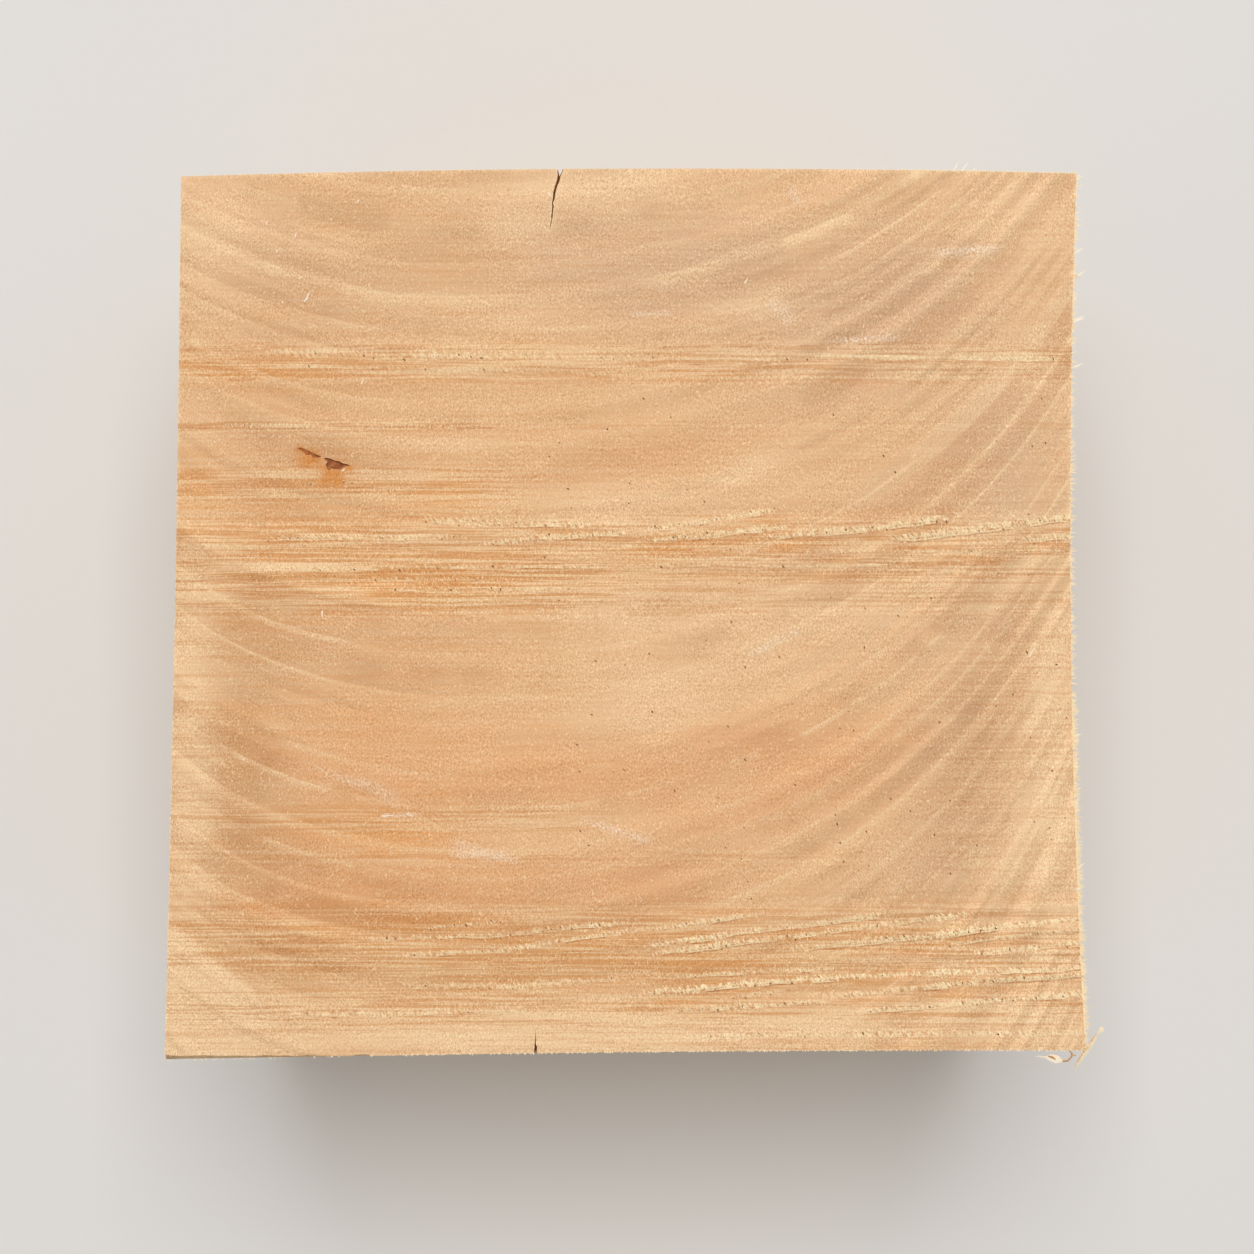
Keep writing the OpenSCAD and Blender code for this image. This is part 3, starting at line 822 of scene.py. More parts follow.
# Splits from drying: the line of each from its mouth on the face to its tip, its widths, and its depth
dryingChecks = {
    "backCheck": {
        "line": [(-7.15, 50.2), (-7.2, 49.0), (-7.3, 48.5), (-7.4, 48.0), (-7.66, 47.3), (-7.84, 46.6),
                 (-7.9, 46.0), (-8.05, 45.5), (-7.98, 45.1), (-8.06, 44.5), (-8.1, 44.0), (-8.14, 43.6),
                 (-8.26, 43.0), (-8.36, 42.4)],
        "widths": [0.96, 0.70, 0.42, 0.40, 0.33, 0.30, 0.27, 0.15, 0.21, 0.14, 0.19, 0.09, 0.10, 0.05],
        "deep": 24.0, "lip": 0.2, "open": (0.9, 0.6),
    },
    "frontCheck": {
        "line": [(-9.92, -49.6), (-9.92, -48.2), (-9.88, -47.8), (-9.96, -47.4), (-9.9, -46.9),
                 (-9.92, -45.9)],
        "widths": [0.44, 0.42, 0.34, 0.14, 0.10, 0.03],
        "deep": 10.0, "lip": 0.25, "open": (0.3, 0.2),
    },
}


def loftFaces(rings, size, capped=True):
    # faces between rings of points that follow each other
    faces = []
    for i in range(rings - 1):
        a, b = size * i, size * (i + 1)
        faces += [(a + k, a + (k + 1) % size, b + (k + 1) % size, b + k) for k in range(size)]
    if capped:
        last = size * (rings - 1)
        faces += [tuple(range(size))[::-1], tuple(range(last, last + size))]
    return faces


def makeCutter(name, points, faces, slot):
    # a cutter leaves its own material on the faces that it opens
    return makeObject(name, np.array(points) * mm, faces, blockMaterials, [slot] * len(faces), False)


def checkCutter(name):
    # wedge along the split, with an open lip, its floor rising to the tip
    check = dryingChecks[name]
    line, widths = np.array(check["line"]), np.array(check["widths"])
    along = np.gradient(line, axis=0)
    across = np.column_stack([-along[:, 1], along[:, 0]]) / np.linalg.norm(along, axis=1)[:, None]
    run = np.linalg.norm(line - line[0], axis=1)
    floor = blockHeight - check["deep"] * (1 - run / run[-1]) - 0.05
    slots = np.full(len(line), 0.2)  # share of the width that goes straight down
    slots[:2] = check["open"]
    points = []
    for spot, side, width, low, slot in zip(line, across, widths, floor, slots):
        lip = blockHeight - min(check["lip"], (blockHeight - low) / 2)
        half = ((0.55, blockHeight + 0.1), (slot / 2, lip), (slot / 4, low))
        points += [(*(spot + side * reach * width), height) for reach, height in half]
        points += [(*(spot - side * reach * width), height) for reach, height in half[::-1]]
    return makeCutter(name, points, loftFaces(len(line), 6), splitFace)


# Gum pocket on a growth ring: a thin seam, an open hollow at its right end, and the stain round them
gumPocket = {
    "seam": {
        "back": [(-36.35, 18.39), (-35.96, 18.52), (-35.03, 18.12), (-34.17, 17.72), (-33.49, 17.46)],
        "front": [(-33.6, 17.34), (-34.43, 17.28), (-34.7, 17.64), (-35.29, 17.6), (-35.53, 17.86),
                  (-35.96, 18.2)],
        "deep": (0.12, 0.06), "face": seamFace,  # depth under the back and front edges
    },
    "hollow": {
        "back": [(-33.39, 17.33), (-32.83, 17.33), (-31.97, 16.99), (-31.6, 16.96), (-31.23, 16.73),
                 (-30.7, 16.63), (-30.3, 16.46)],
        "front": [(-30.63, 16.4), (-31.1, 16.26), (-31.44, 15.96), (-32.17, 16.06), (-32.56, 16.12),
                  (-32.76, 15.86), (-32.99, 16.06), (-33.19, 16.6), (-32.96, 16.86)],
        "deep": (0.5, 0.14), "face": gumFace,
    },
    "floor": 0.92,  # share of the outline that the floor keeps
    "stains": [(-35.0, 17.3, 1.7, 1.1), (-32.3, 15.3, 1.7, 1.5), (-30.6, 16.1, 0.5, 0.5),
               (-36.0, 18.3, 0.6, 0.4)],  # middle and half sizes
    "stain": 0.8, "stainRagged": 0.7,
}


def pocketCutter(name):
    part = gumPocket[name]
    outline = np.array(part["back"] + part["front"])
    middle = outline.mean(0)
    floor = middle + (outline - middle) * gumPocket["floor"]
    deep = [part["deep"][0]] * len(part["back"]) + [part["deep"][1]] * len(part["front"])
    points = [(*p, blockHeight + overrun) for p in outline]
    points += [(*p, blockHeight - d) for p, d in zip(floor, deep)]
    return makeCutter(name, points, loftFaces(2, len(outline)), part["face"])


def gumStain(x, y):
    ragged = gumPocket["stainRagged"] * (latticeNoise(x * 1.1, y * 1.1, 55) - 0.5)
    stain = np.zeros_like(x)
    for middleX, middleY, halfX, halfY in gumPocket["stains"]:
        far = np.sqrt(((x - middleX) / halfX) ** 2 + ((y - middleY) / halfY) ** 2)
        stain = np.maximum(stain, gumPocket["stain"] * (1 - smoothStep(0.4, 1.3, far + ragged)))
    return stain


# Flake lost from the front-left edge, as in the solid, with a nick near its end
brokenEdge = {
    "length": 23.5, "in": 0.6, "step": 0.5, "drop": 1.2, "ragged": 0.22,
    "nick": (0.90, 0.96), "nickDeep": 0.3,
}


def edgeCutter():
    form = brokenEdge
    steps = np.linspace(-0.1, 1.02, 48)
    front = sideLine("front", steps * form["length"] / np.linalg.norm(frontRight - frontLeft))
    points = []
    for share, (x, y) in zip(steps, front):
        fade = max(1 - share, 0.02)
        if form["nick"][0] < share < form["nick"][1]:
            fade += form["nickDeep"]
        ragged = latticeNoise(np.array([share * 21]), np.array([0.5]), 41)[0] - 0.5
        ragged = form["ragged"] * ragged * min(fade * 2, 1)
        inner, outer = y + form["in"] * fade + ragged, y - 2 * overrun
        low, high = blockHeight - form["drop"] * fade, blockHeight + overrun
        points += [
            (x, inner, high), (x, outer, high), (x, outer, low), (x, y - 0.02, low),
            (x, inner - 0.06 * fade, blockHeight - form["step"] * fade),
        ]
    return makeCutter("edgeCutter", points, loftFaces(len(steps), 5), wallFace)


def clearOfCuts(plan):
    # true where a fibre would not hang over the pocket or a split
    clear = np.ones(len(plan), bool)
    for name in ("seam", "hollow"):
        outline = np.array(gumPocket[name]["back"] + gumPocket[name]["front"])
        middle, reach = outline.mean(0), np.ptp(outline, axis=0) / 2 + 0.3
        clear &= np.linalg.norm((plan - middle) / reach, axis=1) > 1
    for check in dryingChecks.values():
        line = np.array(check["line"])
        for spot, width in zip(line, check["widths"]):
            clear &= np.linalg.norm(plan - spot, axis=1) > 0.3 + width / 2
    return clear


# Pinholes: some seen one by one, more where the face is torn, and loose ones at the right
pinholes = {
    "seen": [(-26.3, -15.7), (13.9, -31.4), (-1.2, -37.6), (-12.2, -29.9), (-31.9, 15.3), (-31.1, 14.6),
             (-30.2, 14.5), (-34.7, 14.4)],
    "radius": (0.06, 0.11),
    "torn": 260, "loose": 110, "deep": 0.24, "slit": (1.2, 2.6), "slitTurn": -0.95,
    "corners": 7, "apart": 0.9, "offEdge": 0.6, "looseArea": ((-10, -30), (49.5, 24)),
}


def addSpot(spots, spot):
    # keeps pinholes apart, and off the edges and the other cuts
    apart = min(np.linalg.norm(spot - s) for s in spots) > pinholes["apart"]
    inside = rimDistance(spot[None])[0] > pinholes["offEdge"]
    if apart and inside and clearOfCuts(spot[None])[0]:
        spots.append(spot)


def pinholeCutter():
    rng = np.random.default_rng(5)
    spots = [np.array(p) for p in pinholes["seen"]]
    lines = tornRidges["lines"]
    while len(spots) < pinholes["torn"]:
        points, strength, half = lines[rng.integers(len(lines))]
        x = rng.uniform(points[0][0] + 1, points[-1][0] - 1)
        zero, _ = ridgeOffset(np.array([x]), np.array([0.0]), points)
        spot = np.array([x, -zero[0] + rng.normal(-0.3 * half, 0.5 * half)])
        if rng.random() < strength:
            addSpot(spots, spot)
    for spot in rng.uniform(*pinholes["looseArea"], (pinholes["loose"], 2)):
        addSpot(spots, spot)
    points, faces = [], []
    corners = pinholes["corners"]
    for i, spot in enumerate(spots):
        radius = rng.uniform(*pinholes["radius"])
        slit = pinholes["slit"][0] if i < len(pinholes["seen"]) else rng.uniform(*pinholes["slit"])
        turn = pinholes["slitTurn"] + rng.normal(0, 0.25)
        start = len(points)
        for height, share in ((0.6, 1.3), (-pinholes["deep"], 0.6)):
            for k in range(corners):
                angle = 2 * math.pi * k / corners
                reach = radius * share * rng.uniform(0.8, 1.2)
                along, across = reach * slit * math.cos(angle), reach * math.sin(angle)
                x = spot[0] + along * math.cos(turn) - across * math.sin(turn)
                y = spot[1] + along * math.sin(turn) + across * math.cos(turn)
                points.append((x, y, blockHeight + height))
        faces += [tuple(start + v for v in face) for face in loftFaces(2, corners)]
    return makeCutter("pinholeCutter", points, faces, gumFace)


def faceOutward(piece):
    work = bmesh.new()
    work.from_mesh(piece.data)
    bmesh.ops.recalc_face_normals(work, faces=work.faces)
    work.to_mesh(piece.data)
    work.free()


def cutAway(piece, cutter):
    faceOutward(cutter)
    trim = piece.modifiers.new("cut", "BOOLEAN")
    trim.operation, trim.solver, trim.object = "DIFFERENCE", "EXACT", cutter
    bpy.context.view_layer.objects.active = piece
    bpy.ops.object.modifier_apply(modifier=trim.name)
    bpy.data.objects.remove(cutter)


# How far a painted highlight follows the top edges and pale colour follows the splits, and what the painted
# shade before a ridge does to the tones
maskForm = {
    "rimHighlight": 0.7, "lipPale": 0.9, "paleReach": 0.35,
    "shadePale": 0.6, "shadeOrange": 0.9, "shadeUmber": 0.7,
}


def paintMasks(piece):
    form = maskForm
    mesh = piece.data
    cloud = np.empty(len(mesh.vertices) * 3)
    mesh.vertices.foreach_get("co", cloud)
    x, y, z = cloud.reshape(-1, 3).T / mm
    onTop = z > blockHeight - 1.0
    ridgeFar, lineFar, level, shade = tornFields(x, y)
    shade = shade * (1 - 0.3 * smoothStep(25, 45, x) - 0.3 * smoothStep(38, 48, x))
    seeds = {"grey": 50, "warm": 52, "pale": 54, "orange": 56, "umber": 58}
    zones = {name: zoneMask(x, y, toneZones[name], seed) for name, seed in seeds.items()}
    corner = cornerMask(x, y)
    zones["warm"], zones["umber"] = zones["warm"] * (1 - corner), zones["umber"] * (1 - corner)
    beside = smoothStep(-36, -44, x) * smoothStep(-30, -34, y)
    zones["pale"] = np.maximum(zones["pale"] * (1 - beside), corner)
    # painted highlight along the top edges, kept off the painted shade before the ridges
    rim = form["rimHighlight"] * np.exp(-(rimDistance(np.column_stack([x, y])) / form["paleReach"]) ** 2)
    zones["pale"] = np.maximum(zones["pale"], rim) * (1 - form["shadePale"] * shade)
    for check in dryingChecks.values():
        for spot, width in zip(check["line"], check["widths"]):
            away = np.hypot(x - spot[0], y - spot[1]) - width / 2
            lip = form["lipPale"] * np.exp(-(away / form["paleReach"]) ** 2)
            zones["pale"] = np.maximum(zones["pale"], lip)
    zones["orange"] = np.maximum(zones["orange"], form["shadeOrange"] * shade)
    zones["umber"] = np.maximum(zones["umber"], form["shadeUmber"] * shade)
    # rings are crisp towards the sides and the back, and faint across the front
    crisp = 0.55 + 0.4 * smoothStep(10, 40, -x - 4) + 0.2 * smoothStep(22, 36, y)
    crisp = crisp + smoothStep(5, 30, x) * (0.6 + 0.4 * smoothStep(0, 30, y))
    atSides = np.maximum(0.7 * smoothStep(-30, -44, x), 0.9 * smoothStep(12, 32, x))
    crisp = crisp * np.maximum(smoothStep(-46, -30, y), atSides)
    sets = {
        "toneZones": (zones["grey"], zones["warm"], zones["pale"], zones["orange"]),
        "bladeWork": (ridgeFar, lineFar, scored(x, y), level),
        "marks": (gumStain(x, y), scuffMask(x, y), crisp, zones["umber"]),
    }
    for name, channels in sets.items():
        layer = mesh.attributes.new(name, "FLOAT_COLOR", "POINT")
        painted = np.column_stack([channel * onTop for channel in channels])
        layer.data.foreach_set("color", painted.astype(np.float32).ravel())


# The top takes most of the map, the four sides a column on its right, and the base a corner
mapForm = {
    "top": (0.01, 0.19), "topSize": 0.8, "base": (0.01, 0.01), "baseSize": 0.17,
    "sides": (0.82, 0.19), "sideWidth": 0.17, "sideHeight": 0.18, "sideStep": 0.2, "margin": 2,
}


def unwrapBlock(piece):
    form = mapForm
    mesh = piece.data
    layer = mesh.uv_layers.new(name="OFBake")
    cloud, normals = np.empty(len(mesh.vertices) * 3), np.empty(len(mesh.polygons) * 3)
    corners, sizes = np.empty(len(mesh.loops), np.int32), np.empty(len(mesh.polygons), np.int32)
    slots = np.empty(len(mesh.polygons), np.int32)
    mesh.vertices.foreach_get("co", cloud)
    mesh.polygons.foreach_get("normal", normals)
    mesh.loops.foreach_get("vertex_index", corners)
    mesh.polygons.foreach_get("loop_total", sizes)
    mesh.polygons.foreach_get("material_index", slots)
    spots = cloud.reshape(-1, 3)[corners] / mm
    normals = np.repeat(normals.reshape(-1, 3), sizes, axis=0)
    slots = np.repeat(slots, sizes)
    reach = 2 * max(np.abs(basePoints).max(), halfDeep) + form["margin"]
    flat = 0.5 + spots[:, :2] / reach
    faceUp = normals[:, 2:] > -0.5
    places = np.where(faceUp, form["top"], form["base"])
    places = places + flat * np.where(faceUp, form["topSize"], form["baseSize"])
    onWall = slots == wallFace
    outwards = np.array([-sideWays(*ends)[2] for ends in sides.values()])
    nearest = np.argmax(normals[:, :2] @ outwards.T, axis=1)
    for k, (start, end) in enumerate(sides.values()):
        chosen = onWall & (nearest == k)
        share = 0.5 + ((spots[chosen, :2] - (start + end) / 2) @ sideWays(start, end)[1]) / reach
        sideX = form["sides"][0] + form["sideWidth"] * share
        sideY = form["sides"][1] + form["sideStep"] * k
        sideY = sideY + form["sideHeight"] * spots[chosen, 2] / (blockHeight + form["margin"])
        places[chosen] = np.column_stack([sideX, sideY])
    layer.data.foreach_set("uv", places.astype(np.float32).ravel())


block = makeBlock()
faceOutward(block)
print("block mesh:", len(block.data.polygons), "faces")
cutters = [checkCutter(name) for name in dryingChecks]
cutters += [pocketCutter("seam"), pocketCutter("hollow"), edgeCutter(), pinholeCutter()]
for cutter in cutters:
    cutAway(block, cutter)
paintMasks(block)
unwrapBlock(block)
block.data.set_sharp_from_angle(angle=math.radians(50))
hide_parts("block")
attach(block, "root")
print("checks, pocket, pinholes and broken edge cut:", len(block.data.polygons), "faces")


# Fibres: closed three-sided hairs with a bend in the middle
def makeFibres(name, roots, tips, widths, tones):
    count = len(roots)
    along = tips - roots
    length = np.linalg.norm(along, axis=1)[:, None]
    along = along / length
    helper = np.where(np.abs(along[:, 2:3]) > 0.9, [[1.0, 0, 0]], [[0, 0, 1.0]])
    side = np.cross(along, helper)
    side = side / np.linalg.norm(side, axis=1)[:, None]
    up = np.cross(side, along)
    middle = roots + along * length * 0.55 + up * length * 0.12
    points = np.empty((count, 7, 3))
    for k in range(3):
        angle = math.pi / 6 + 2 * math.pi * k / 3  # one flat on top
        around = side * math.cos(angle) + up * math.sin(angle)
        points[:, k] = roots + around * widths[:, None] / 2
        points[:, 3 + k] = middle + around * widths[:, None] * 0.4
    points[:, 6] = tips
    pattern = [(0, 1, 2), (3, 4, 1, 0), (4, 5, 2, 1), (5, 3, 0, 2), (6, 4, 3), (6, 5, 4), (6, 3, 5)]
    faces = [tuple(7 * i + v for v in face) for i in range(count) for face in pattern]
    piece = makeObject(name, points.reshape(-1, 3) * mm, faces, [cutFibre], smooth=False)
    layer = piece.data.attributes.new("fibreTone", "FLOAT", "POINT")
    layer.data.foreach_set("value", np.repeat(tones, 7).astype(np.float32))
    # one cell of the map to a fibre
    cells = math.ceil(math.sqrt(count))
    inCell = np.array([(0.2, 0.2), (0.5, 0.2), (0.8, 0.2), (0.2, 0.5), (0.5, 0.5), (0.8, 0.5), (0.5, 0.8)])
    cell = np.column_stack([np.arange(count) % cells, np.arange(count) // cells])
    loops = np.array([v for face in pattern for v in face])
    places = (cell[:, None] + inCell[loops][None]) / cells
    piece.data.uv_layers.new(name="OFBake").data.foreach_set("uv", places.astype(np.float32).ravel())
    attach(piece, "root")
    print(name + ":", count, "fibres")


def onFace(x, y):
    return np.column_stack([x, y, blockHeight + topHeight(x, y) - 0.03])


def leaning(rng, count, lengths, rise, facing, spread):
    # steps of random length round a facing angle, rising off the face
    angle = facing + rng.normal(0, spread, count)
    up = rng.uniform(*rise, count)
    flat = np.sqrt(1 - up ** 2)
    step = np.column_stack([np.cos(angle) * flat, np.sin(angle) * flat, up])
    return step * rng.uniform(*lengths, count)[:, None]


# Teeth of torn fibre in two rows across each ridge
ridgeForm = {
    "step": (0.34, 0.62), "width": (0.07, 0.12), "rise": (-0.05, 0.18), "tone": (0.2, 1.4),
    "facing": -1.05, "spread": 0.25,
    "length": (0.9, 1.8), "rows": (0.9, 0.1),  # in half widths of the ridge, each row from its line
}


def ridgeFibres():
    form = ridgeForm
    rng = np.random.default_rng(7)
    roots, tips = [], []
    for points, strength, half in tornRidges["lines"]:
        startX, endX = points[0][0], points[-1][0]
        for row in form["rows"]:
            x = startX + np.cumsum(rng.uniform(*form["step"], int((endX - startX) / form["step"][0])))
            x = x[x < endX]
            zero, _ = ridgeOffset(x, np.zeros_like(x), points)
            y = -zero + half * row + rng.normal(0, 0.2 * half, len(x))
            patchy = (0.5 + latticeNoise(x * 0.25, x * 0 + points[0][1], 13)) * (0.1 + 0.9 * strength)
            keep = (rimDistance(np.column_stack([x, y])) > 0.15) & (rng.random(len(x)) < patchy)
            base = onFace(x[keep], y[keep]) + (0, 0, 0.04)
            lengths = np.array(form["length"]) * half
            step = leaning(rng, len(base), lengths, form["rise"], form["facing"], form["spread"])
            roots.append(base)
            tips.append(base + step)
    roots, tips = np.concatenate(roots), np.concatenate(tips)
    widths = rng.uniform(*form["width"], len(roots))
    makeFibres("ridgeFibres", roots, tips, widths, rng.uniform(*form["tone"], len(roots)))


# Nap of short fibres all over the face, mostly darker ones
napForm = {
    "count": 18500, "area": ((-51, -49.5), (51, 49.5)), "inset": 0.5,
    "length": (0.20, 0.50), "width": (0.06, 0.10), "rise": (0.04, 0.30),
    "facings": (1.1, 2.0, -1.1, -2.0), "spread": 0.5,
    "toneLeast": 0.3, "toneSpan": 1.1, "toneBias": 1.8,
}


def napFibres():
    form = napForm
    rng = np.random.default_rng(9)
    plan = rng.uniform(*form["area"], (form["count"], 2))
    plan = plan[(rimDistance(plan) > form["inset"]) & clearOfCuts(plan)]
    roots = onFace(plan[:, 0], plan[:, 1])
    facing = rng.choice(form["facings"], len(plan))
    tips = roots + leaning(rng, len(plan), form["length"], form["rise"], facing, form["spread"])
    widths = rng.uniform(*form["width"], len(plan))
    tones = form["toneLeast"] + form["toneSpan"] * rng.random(len(plan)) ** form["toneBias"]
    makeFibres("napFibres", roots, tips, widths, tones)


# Short upright ticks in rows where the blade scored the face
tickForm = {
    "rows": 90, "run": (4, 16), "step": (0.3, 0.7), "scoredLeast": 0.6, "halfMost": 6, "inset": 0.4,
    "length": (0.18, 0.34), "width": (0.07, 0.11), "rise": (0.0, 0.2), "tone": (0.7, 1.3),
    "facing": 1.4, "spread": 0.3,
}


def tickFibres():
    form = tickForm
    rng = np.random.default_rng(19)
    rows = [row for row in scoredRows if row[4] > form["scoredLeast"] and row[1] < form["halfMost"]]
    plan = []
    for _ in range(form["rows"]):
        middle, half, start, end, _ = rows[rng.integers(len(rows))]
        y = middle + rng.uniform(-0.8, 0.8) * half
        x = rng.uniform(max(start, -48), min(end, 46))
        stop = x + rng.uniform(*form["run"])
        while x < stop:
            plan.append((x, y + rng.normal(0, 0.05)))
            x += rng.uniform(*form["step"])
    plan = np.array(plan)
    plan = plan[(rimDistance(plan) > form["inset"]) & clearOfCuts(plan)]
    roots = onFace(plan[:, 0], plan[:, 1])
    tips = roots + leaning(rng, len(plan), form["length"], form["rise"], form["facing"], form["spread"])
    widths = rng.uniform(*form["width"], len(plan))
    makeFibres("tickFibres", roots, tips, widths, rng.uniform(*form["tone"], len(plan)))


# Fuzz along the top edges, thicker in one stretch, and the hairs that stand out of it
edgeForm = {
    "right": {"count": 1300, "length": (0.15, 0.95), "thick": (0.02, 0.40)},
    "back": {"count": 320, "length": (0.08, 0.30), "thick": (0.0, 0.2)},
    "left": {"count": 260, "length": (0.06, 0.18), "thick": (0.5, 1.0)},
    "front": {"count": 320, "length": (0.08, 0.28), "thick": (0.3, 1.0)},
    "width": (0.09, 0.16), "rise": (-0.2, 0.4), "spread": 0.6, "tone": (0.8, 1.4),
    "longWidth": 0.26, "longTone": 1.7,
    "long": [
        ((49.4, 37.0), (50.95, 38.1)), ((49.5, 39.8), (50.75, 40.6)), ((49.4, 32.4), (50.85, 33.05)),
        ((49.4, 32.3), (50.85, 32.8)), ((49.3, 27.2), (50.7, 27.8)), ((49.3, -13.4), (50.55, -13.2)),
        ((49.3, -13.9), (50.2, -13.85)), ((49.3, -14.2), (50.25, -14.1)), ((36.1, 48.7), (36.85, 50.1)),
        ((37.0, 48.8), (37.94, 50.06)), ((38.3, 48.9), (38.77, 49.4)), ((49.6, -26.2), (50.6, -25.7)),
        ((49.7, -28.1), (50.9, -27.4)), ((49.8, -29.0), (50.8, -29.3)), ((49.8, -30.4), (50.8, -30.0)),
    ],
}


def edgeFibres():
    form = edgeForm
    rng = np.random.default_rng(13)
    roots, tips, widths, tones = [], [], [], []
    for name, ends in sides.items():
        half = form[name]["count"] // 2
        share = np.concatenate([rng.uniform(0.002, 0.998, half), rng.uniform(*form[name]["thick"], half)])
        inward = sideWays(*ends)[2]
        plan = sideLine(name, share) + inward * 0.05
        base = onFace(plan[:, 0], plan[:, 1]) - (0, 0, 0.06)
        facing = math.atan2(-inward[1], -inward[0])
        step = leaning(rng, len(base), form[name]["length"], form["rise"], facing, form["spread"])
        roots.append(base)
        tips.append(base + step)
        widths.append(rng.uniform(*form["width"], len(base)))
        tones.append(rng.uniform(*form["tone"], len(base)))
    for start, end in form["long"]:
        roots.append(np.array([(*start, blockHeight - 0.25)]))
        tips.append(np.array([(*end, blockHeight - 0.05)]))
        widths.append(np.array([form["longWidth"]]))
        tones.append(np.array([form["longTone"]]))
    makeFibres("edgeFibres", *(np.concatenate(part) for part in (roots, tips, widths, tones)))


# Loose pale fibres on the face: single flecks, and tufts along the rings
looseForm = {
    "flecks": [
        ((-35.3, 34.75), (-34.7, 35.9)), ((13.2, 36.6), (13.6, 37.3)), ((44.6, -4.7), (45.5, -3.15)),
        ((-29.2, 25.5), (-28.8, 26.1)), ((-33.5, 0.4), (-33.5, -0.4)), ((-26.8, -22.3), (-25.6, -22.15)),
        ((-8.4, 46.5), (-8.15, 46.0)), ((-36.5, 41.7), (-36.3, 42.3)), ((-36.1, 37.1), (-35.7, 37.35)),
        ((-39.7, 43.1), (-39.5, 43.5)), ((-38.5, 40.0), (-38.3, 40.4)), ((-29.6, 45.5), (-29.4, 45.9)),
        ((-35.5, 34.6), (-35.0, 34.9)), ((-37.9, 34.4), (-37.8, 34.7)), ((-31.3, 15.85), (-30.9, 16.14)),
    ],
    "fleckWidth": 0.19, "fleckTone": 1.7,
    "tufts": [  # middle and turn in degrees
        (35.8, -1.7, 35), (40.5, -3.3, 45), (31.3, -6.7, 32), (17.0, 3.7, 15), (20.5, -0.5, 18),
        (11.5, 14.2, 12), (17.0, 34.0, -35), (-22.0, 28.6, 0), (13.0, 29.6, 0), (27.5, 9.8, 5),
    ],
    "tuft": 12, "tuftReach": (2.6, 0.8), "facings": (0.5, 1.2), "spread": 0.3,
    "length": (0.2, 0.6), "width": (0.07, 0.11), "rise": (0.05, 0.3), "tone": (0.8, 1.3),
}


def looseFibres():
    form = looseForm
    rng = np.random.default_rng(17)
    starts = np.array([f[0] for f in form["flecks"]])
    ends = np.array([f[1] for f in form["flecks"]])
    roots, tips = [onFace(*starts.T)], [onFace(*ends.T) + (0, 0, 0.12)]
    widths = [np.full(len(starts), form["fleckWidth"])]
    tones = [np.full(len(starts), form["fleckTone"])]
    for x, y, turn in form["tufts"]:
        angle = math.radians(turn)
        reach = rng.normal(0, 0.5, (form["tuft"], 2)) * form["tuftReach"]
        plan = np.column_stack([
            x + reach[:, 0] * math.cos(angle) - reach[:, 1] * math.sin(angle),
            y + reach[:, 0] * math.sin(angle) + reach[:, 1] * math.cos(angle),
        ])
        base = onFace(plan[:, 0], plan[:, 1])
        facing = angle + rng.choice(form["facings"], form["tuft"])
        step = leaning(rng, form["tuft"], form["length"], form["rise"], facing, form["spread"])
        roots.append(base)
        tips.append(base + step)
        widths.append(rng.uniform(*form["width"], form["tuft"]))
        tones.append(rng.uniform(*form["tone"], form["tuft"]))
    makeFibres("looseFibres", *(np.concatenate(part) for part in (roots, tips, widths, tones)))


# Splinters at the front-right corner: points of each spine, with height over the top,
# then half widths, and tones of its two edges
splinterThick = 0.10
splinters = {
    "blade": (
        [(49.86, -50.38, -1.2), (50.24, -49.56, -0.95), (50.9, -48.5, -0.6), (51.5, -47.55, -0.35),
         (52.03, -46.69, -0.2), (52.2, -46.45, -0.15)],
        [0.03, 0.19, 0.25, 0.25, 0.18, 0.07], (0.2, 1.6),
    ),
    "bladeHead": (
        [(52.14, -46.55, -0.15), (52.4, -46.2, -0.1), (52.67, -45.84, -0.05), (52.84, -45.7, -0.05)],
        [0.06, 0.14, 0.32, 0.16], (1.3, 1.6),
    ),
    "bladeRoot": (
        [(50.6, -47.3, -1.6), (51.1, -47.75, -1.0), (51.4, -47.75, -0.45)],
        [0.06, 0.07, 0.07], (0.0, 0.2),
    ),
    "thread": (
        [(51.2, -46.3, -0.1), (50.8, -47.35, -0.2), (50.31, -48.84, -0.5)],
        [0.04, 0.06, 0.03], (1.3, 1.3),
    ),
    "flake": (
        [(45.4, -48.84, -0.3), (46.5, -48.98, -0.35), (47.1, -49.02, -0.4), (47.8, -49.25, -0.45),
         (48.35, -49.45, -0.5)],
        [0.03, 0.13, 0.40, 0.46, 0.16], (1.4, 1.7),
    ),
    "flakeStem": (
        [(48.25, -49.42, -0.5), (48.97, -49.41, -0.6), (49.35, -48.97, -0.5), (49.42, -48.58, -0.4),
         (49.05, -48.1, -0.35)],
        [0.09, 0.10, 0.11, 0.10, 0.08], (0.0, 0.2),
    ),
    # a dark strip laid over the flake as its painted shadow
    "flakeShadow": (
        [(46.75, -48.85, -0.28), (47.2, -48.95, -0.28), (47.6, -49.2, -0.3)],
        [0.06, 0.13, 0.05], (-0.3, 0.0),
    ),
    "flakeSpur": ([(49.3, -48.8, -0.45), (49.85, -48.76, -0.4)], [0.13, 0.05], (0.3, 0.5)),
}


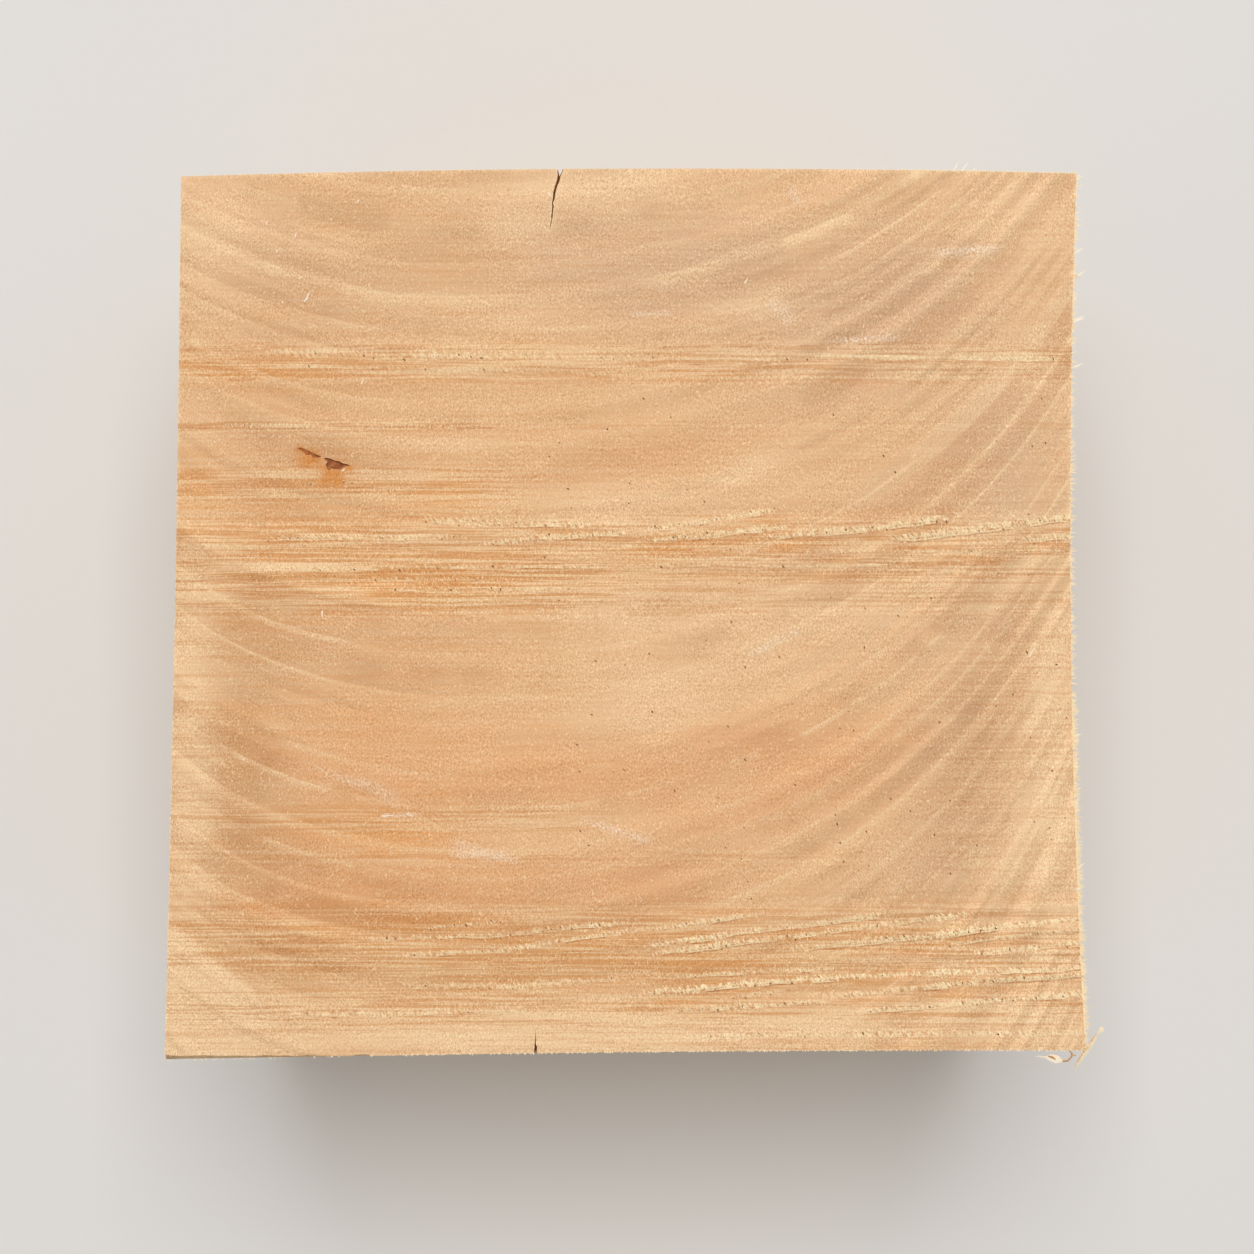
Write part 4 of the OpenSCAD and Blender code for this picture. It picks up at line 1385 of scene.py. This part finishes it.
def makeSplinters():
    points, tones, faces = [], [], []
    for spine, halves, (leftTone, rightTone) in splinters.values():
        spine = np.array(spine)
        ahead = np.gradient(spine[:, :2], axis=0)
        across = np.column_stack([-ahead[:, 1], ahead[:, 0]]) / np.linalg.norm(ahead, axis=1)[:, None]
        start = len(points)
        for (x, y, z), (acrossX, acrossY), half in zip(spine, across, halves):
            high = min(splinterThick, half)
            for reach, lift in ((half, 0), (0, -high), (-half, 0), (0, high)):
                points.append((x + acrossX * reach, y + acrossY * reach, blockHeight + z + lift))
            tones += [leftTone, leftTone, rightTone, 0.4 * leftTone + 0.6 * rightTone]
        faces += [tuple(start + v for v in face) for face in loftFaces(len(spine), 4)]
    piece = makeObject("splinters", np.array(points) * mm, faces, [cutFibre], smooth=False)
    faceOutward(piece)
    layer = piece.data.attributes.new("fibreTone", "FLOAT", "POINT")
    layer.data.foreach_set("value", np.array(tones, np.float32))
    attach(piece, "root")
    print("splinters:", len(faces), "faces")


ridgeFibres()
napFibres()
tickFibres()
edgeFibres()
looseFibres()
makeSplinters()

# Floor, light and camera
stageForm = {
    "floorHalf": 3.0, "floorColor": srgb(236, 234, 231), "floorRough": 0.9, "floorDrop": 0.0001,
    "worldColor": (1.0, 0.995, 0.985, 1.0), "worldStrength": 0.38,
    "keyPower": 6.7, "keySpot": (0.005, 0.26, 1.10), "keySize": (0.40, 0.38),
}


def makeFloor():
    half = stageForm["floorHalf"]
    corners = [(-half, -half, 0), (half, -half, 0), (half, half, 0), (-half, half, 0)]
    material, tree, shader, place = startMaterial("paleFloor")
    cloudy = remap(tree, noise(tree, scaleVector(tree, place, 0.004)), 0.3, 0.7, 0.985, 1.015)
    tree.links.new(scaleVector(tree, stageForm["floorColor"][:3], cloudy), shader.inputs["Base Color"])
    shader.inputs["Roughness"].default_value = stageForm["floorRough"]
    floor = makeObject("floor", corners, [(0, 1, 2, 3)], [material])
    floor.location.z = -stageForm["floorDrop"]


def makeLight():
    world = bpy.data.worlds.new("softRoom")
    world.use_nodes = True
    sky = world.node_tree.nodes["Background"]
    sky.inputs["Color"].default_value = stageForm["worldColor"]
    sky.inputs["Strength"].default_value = stageForm["worldStrength"]
    scene.world = world
    lamp = bpy.data.lights.new("keyLight", "AREA")
    lamp.shape = "RECTANGLE"
    lamp.size, lamp.size_y = stageForm["keySize"]
    lamp.energy = stageForm["keyPower"]
    key = bpy.data.objects.new("keyLight", lamp)
    key.location = stageForm["keySpot"]
    aim = Vector((0, 0, blockHeight * mm)) - key.location
    key.rotation_euler = aim.to_track_quat("-Z", "Y").to_euler()
    scene.collection.objects.link(key)


cameraForm = {
    "photoSize": 1254, "pixelsPerMm": 9.05, "distance": 350.0,  # above the top face
    "photoMiddle": (0.19, -1.38),  # where the photo's middle falls on the top face
}


def makeCamera():
    lens = bpy.data.cameras.new("photoCamera")
    seen = cameraForm["photoSize"] / cameraForm["pixelsPerMm"]
    lens.angle = 2 * math.atan(seen / 2 / cameraForm["distance"])
    lens.clip_start, lens.clip_end = 0.01, 20
    camera = bpy.data.objects.new("photoCamera", lens)
    middleX, middleY = cameraForm["photoMiddle"]
    camera.location = (middleX * mm, middleY * mm, (blockHeight + cameraForm["distance"]) * mm)
    scene.collection.objects.link(camera)
    scene.camera = camera


makeFloor()
makeLight()
makeCamera()
print("floor, light and camera placed")
